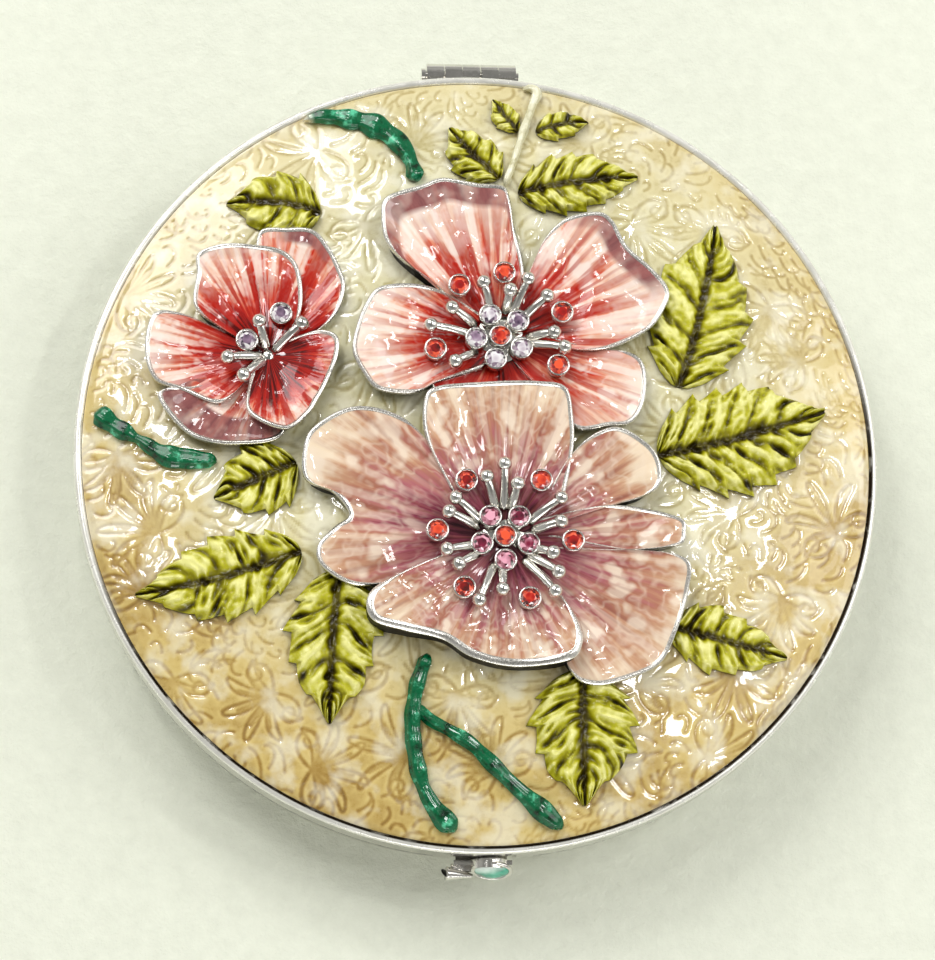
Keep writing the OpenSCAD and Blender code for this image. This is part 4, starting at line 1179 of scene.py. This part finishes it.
STONE_AT = (0.75, -35.95, 7.0)  # middle of the oval stone's back
STONE_FACES = np.array((-0.05, -0.93, 0.37))
STONE_HALF = (1.5, 1.15)
STONE_RISE = 0.45
RING_HALF = (0.13, 0.19)        # half width, as a share of the oval, and half height of its ring
ROLL_AT = (-3.05, -36.05, 5.9)  # open end of the rolled leaf
ROLL_ALONG = (2.3, -0.15, -0.3)
ROLL_R = (0.62, 0.17)           # at its open end and at the stone
MOUTH_AT = (-3.07, -36.05, 5.9)
MOUTH_R = 0.5


def stone_oval():
    """The stone's outline round its middle, and the direction it faces."""
    normal = STONE_FACES / np.linalg.norm(STONE_FACES)
    across = np.cross((0.0, 0.0, 1.0), normal)
    across /= np.linalg.norm(across)
    up = np.cross(normal, across)
    turn = circle(48)[:, None]
    oval = np.cos(turn) * STONE_HALF[0] * across + np.sin(turn) * STONE_HALF[1] * up
    return oval, normal


def make_oval_stone(material):
    """A domed oval that faces up and forward."""
    oval, normal = stone_oval()
    swell = np.concatenate([[-0.3], np.linspace(0, 0.98, 14)]) * math.pi / 2
    reach = np.where(swell < 0, 1.0, np.cos(swell))[:, None, None]
    lift = (STONE_RISE * np.sin(swell))[:, None, None]
    shape = Shape()
    # height marks the stone's upper side, where its material paints a highlight.
    shape.add(np.array(STONE_AT) + reach * oval + lift * normal, tube_faces(len(swell), len(oval)),
              height=0.5 + 0.5 * reach[..., 0] * np.sin(circle(48) - 0.5))
    shape.build("oval_stone", [material], "latch", "teal_stone", "latch_stone")


def make_thumb_ring(silver, dark):
    """The stone's ring, and the rolled leaf at its left, with a black plug of painted shade in its open end.
    """
    oval, normal = stone_oval()
    around = circle(12)[:, None, None]
    ring = (np.array(STONE_AT) + oval * (1.07 + RING_HALF[0] * np.cos(around))
            + normal * (0.02 + RING_HALF[1] * np.sin(around)))
    shape = Shape()
    shape.add(ring, grid_faces(len(ring), len(oval), wrap_rows=True, wrap_cols=True))
    part = np.linspace(0, 1, 16)
    radius = ROLL_R[0] + (ROLL_R[1] - ROLL_R[0]) * part
    add_sweep(shape, ROLL_AT + part[:, None] * np.array(ROLL_ALONG), radius, radius, sides=20)
    # A short black plug, painted shade standing for the dark inside of the roll's open end.
    mouth = np.array(MOUTH_AT) + 0.1 * part[:2, None]
    add_sweep(shape, mouth, MOUTH_R, MOUTH_R, sides=20, slot=1)
    shape.build("thumb_ring", [silver, dark], "latch", "polished_silver")


# ---- stage

def softbox(name, place_at, size, watts):
    """A lit rectangle that faces the box. Places and sizes are in metres."""
    lamp = bpy.data.lights.new(name, "AREA")
    lamp.shape = "RECTANGLE"
    lamp.size, lamp.size_y = size
    lamp.energy = watts
    holder = bpy.data.objects.new(name, lamp)
    holder.location = place_at
    holder.rotation_euler = (-Vector(place_at)).to_track_quat("-Z", "Y").to_euler()
    bpy.context.scene.collection.objects.link(holder)


TENT_STRENGTH = 0.75
BOX_HEIGHT = 0.46
BOX_BRIGHTNESS = 80             # watts for each square metre of a box
# x and y of the middle, width and depth of each box, in metres
BOXES = [(-0.145, 0.10, 0.05, 0.035), (-0.18, 0.19, 0.035, 0.05), (-0.06, 0.36, 0.035, 0.05),
         (0.235, 0.085, 0.07, 0.04), (0.20, 0.31, 0.05, 0.03), (0.18, -0.035, 0.05, 0.04)]


def make_lights():
    """A dim pale tent, broad boxes on the left, right and front, and small ones the enamel mirrors."""
    world = bpy.data.worlds.new("tent")
    world.use_nodes = True
    bpy.context.scene.world = world
    tree = world.node_tree
    spot = put(tree, "TexCoord", "Generated", {})
    rise = put(tree, "SeparateXYZ", "Z", {"Vector": spot})
    tone = ramp(tree, rise, [(0.0, (1.0, 1.0, 0.95, 1)), (0.14, (1.0, 1.0, 0.96, 1)),
                             (0.3, (0.5, 0.5, 0.48, 1)), (0.62, (0.6, 0.6, 0.58, 1)),
                             (0.84, (0.3, 0.3, 0.29, 1))])
    wire(tree, tone, tree.nodes["Background"].inputs["Color"])
    tree.nodes["Background"].inputs["Strength"].default_value = TENT_STRENGTH
    softbox("key_box", (-0.26, 0.34, 0.40), (0.34, 0.28), 1.6)
    softbox("right_fill", (0.42, 0.10, 0.34), (0.30, 0.30), 0.7)
    softbox("front_strip", (0.05, -0.42, 0.16), (0.36, 0.05), 0.5)
    for number, (x, y, width, depth) in enumerate(BOXES):
        watts = BOX_BRIGHTNESS * width * depth
        softbox(f"box_{number}", (x, y, BOX_HEIGHT), (width, depth), watts)


def make_floor(material):
    """A square under the box, large enough to fill the picture."""
    mesh = bpy.data.meshes.new("floor")
    half = FLOOR_HALF
    corners = [(-half, -half, 0), (half, -half, 0), (half, half, 0), (-half, half, 0)]
    mesh.from_pydata(corners, [], [(0, 1, 2, 3)])
    mesh.materials.append(material)
    floor = bpy.data.objects.new("floor", mesh)
    bpy.context.scene.collection.objects.link(floor)


def make_camera():
    """A long lens nearly overhead, a little to the left of the front."""
    turn, tilt, roll = map(math.radians, (CAMERA_TURN, CAMERA_TILT, CAMERA_ROLL))
    back = Vector((-math.sin(turn) * math.sin(tilt), -math.cos(turn) * math.sin(tilt), math.cos(tilt)))
    right = Vector((0, 1, 0)).cross(back).normalized()
    up = back.cross(right)
    rolled_right = math.cos(roll) * right + math.sin(roll) * up
    rolled_up = math.cos(roll) * up - math.sin(roll) * right
    data = bpy.data.cameras.new("camera")
    data.lens = CAMERA_LENS
    data.shift_x, data.shift_y = CAMERA_SHIFT
    data.clip_start, data.clip_end = 0.01, 10.0
    camera = bpy.data.objects.new("camera", data)
    aim = Vector(CAMERA_AIM) * MM
    turned = Matrix((rolled_right, rolled_up, back)).transposed().to_4x4()
    camera.matrix_world = Matrix.Translation(aim + back * CAMERA_DISTANCE * MM) @ turned
    bpy.context.scene.collection.objects.link(camera)
    bpy.context.scene.camera = camera


# ---- the CAD nodes that stay

def finish_nodes(silver, turned):
    """Materials for the pieces whose CAD shape is right."""
    given = {"pill_tray": tray_material(), "latch_spring": steel_material(), "mirror": mirror_material(),
             "mirror_backing": card_material()}
    kept = ("latch_housing", "latch_button", "hinge_base_leaf", "hinge_lid_leaf", "hinge_pin", "lid_catch")
    given.update({node: silver for node in kept})
    given.update({node: turned for node in ("base_shell", "lid_shell", "mirror_ring")})
    for node, material in given.items():
        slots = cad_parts[node].data.materials
        if len(slots) == 0:
            slots.append(material)
        for index in range(len(slots)):
            slots[index] = material


def make_greenery():
    """Leaves and stems, each with its own seed."""
    green = leaf_material()
    for number, (node, leaf) in enumerate(LEAVES.items()):
        make_leaf(node, leaf, green, 200 + number)
    teal = stem_material("teal_enamel", rgb(1, 40, 16), rgb(1, 98, 58), rgb(96, 206, 160))
    pale = stem_material("pale_enamel", rgb(196, 190, 148), rgb(226, 222, 190), rgb(248, 246, 228))
    for number, (node, branches) in enumerate(STEMS.items()):
        slot = "pale_enamel" if node == "stem_fern" else "teal_enamel"
        make_stem(node, branches, pale if node == "stem_fern" else teal, slot, 300 + number)


def make_settings(silver):
    """Cups with their crystals: red hearts and outliers, a pink and a clear ring, two clear at the side."""
    front_heart, pinks = heart_places(FRONT, 54)
    middle_heart, clears = heart_places(MIDDLE, 42)
    front_reds = [front_heart, *petal_places(FRONT, FRONT_RED)]
    middle_reds = [middle_heart, *petal_places(MIDDLE, MIDDLE_RED)]
    side = petal_places(SIDE, SIDE_CLEAR)
    make_cups("front", [front_heart, *pinks, *front_reds[1:]], silver)
    make_cups("middle", [middle_heart, *clears, *middle_reds[1:]], silver)
    make_cups("side", side, silver)
    make_crystals("red", front_reds + middle_reds, 1)
    make_crystals("pink", pinks, 2)
    make_crystals("clear", clears + side, 3)


def make_all():
    """Every piece of the box."""
    silver = silver_material()
    finish_nodes(silver, silver_material("turned_silver", turned=True))
    make_enamel_panel(ground_material())
    make_lip(lip_material())
    pink, red = dusty_pink_material(), red_material()
    rim = silver_material("petal_rim", (246, 242, 234), 0.24)
    black = painted_shade_material()
    make_parting_line(black)
    make_oval_stone(stone_material())
    make_thumb_ring(silver, black)
    make_flower("side", SIDE, SIDE_PETALS, [red, rim, black], "red_enamel", 31)
    make_flower("middle", MIDDLE, MIDDLE_PETALS, [red, rim, black], "red_enamel", 51)
    make_flower("front", FRONT, FRONT_PETALS, [pink, rim, black], "dusty_pink_enamel", 71)
    make_greenery()
    make_settings(silver)
    make_stamens("front", FRONT, FRONT_STAMENS, 2.3, silver)
    make_stamens("middle", MIDDLE, MIDDLE_STAMENS, 2.3, silver)
    make_stamens("side", SIDE, SIDE_STAMENS, 0.7, silver)


make_camera()
make_lights()
make_floor(floor_material())
bpy.context.scene.view_settings.view_transform = "Standard"
make_all()
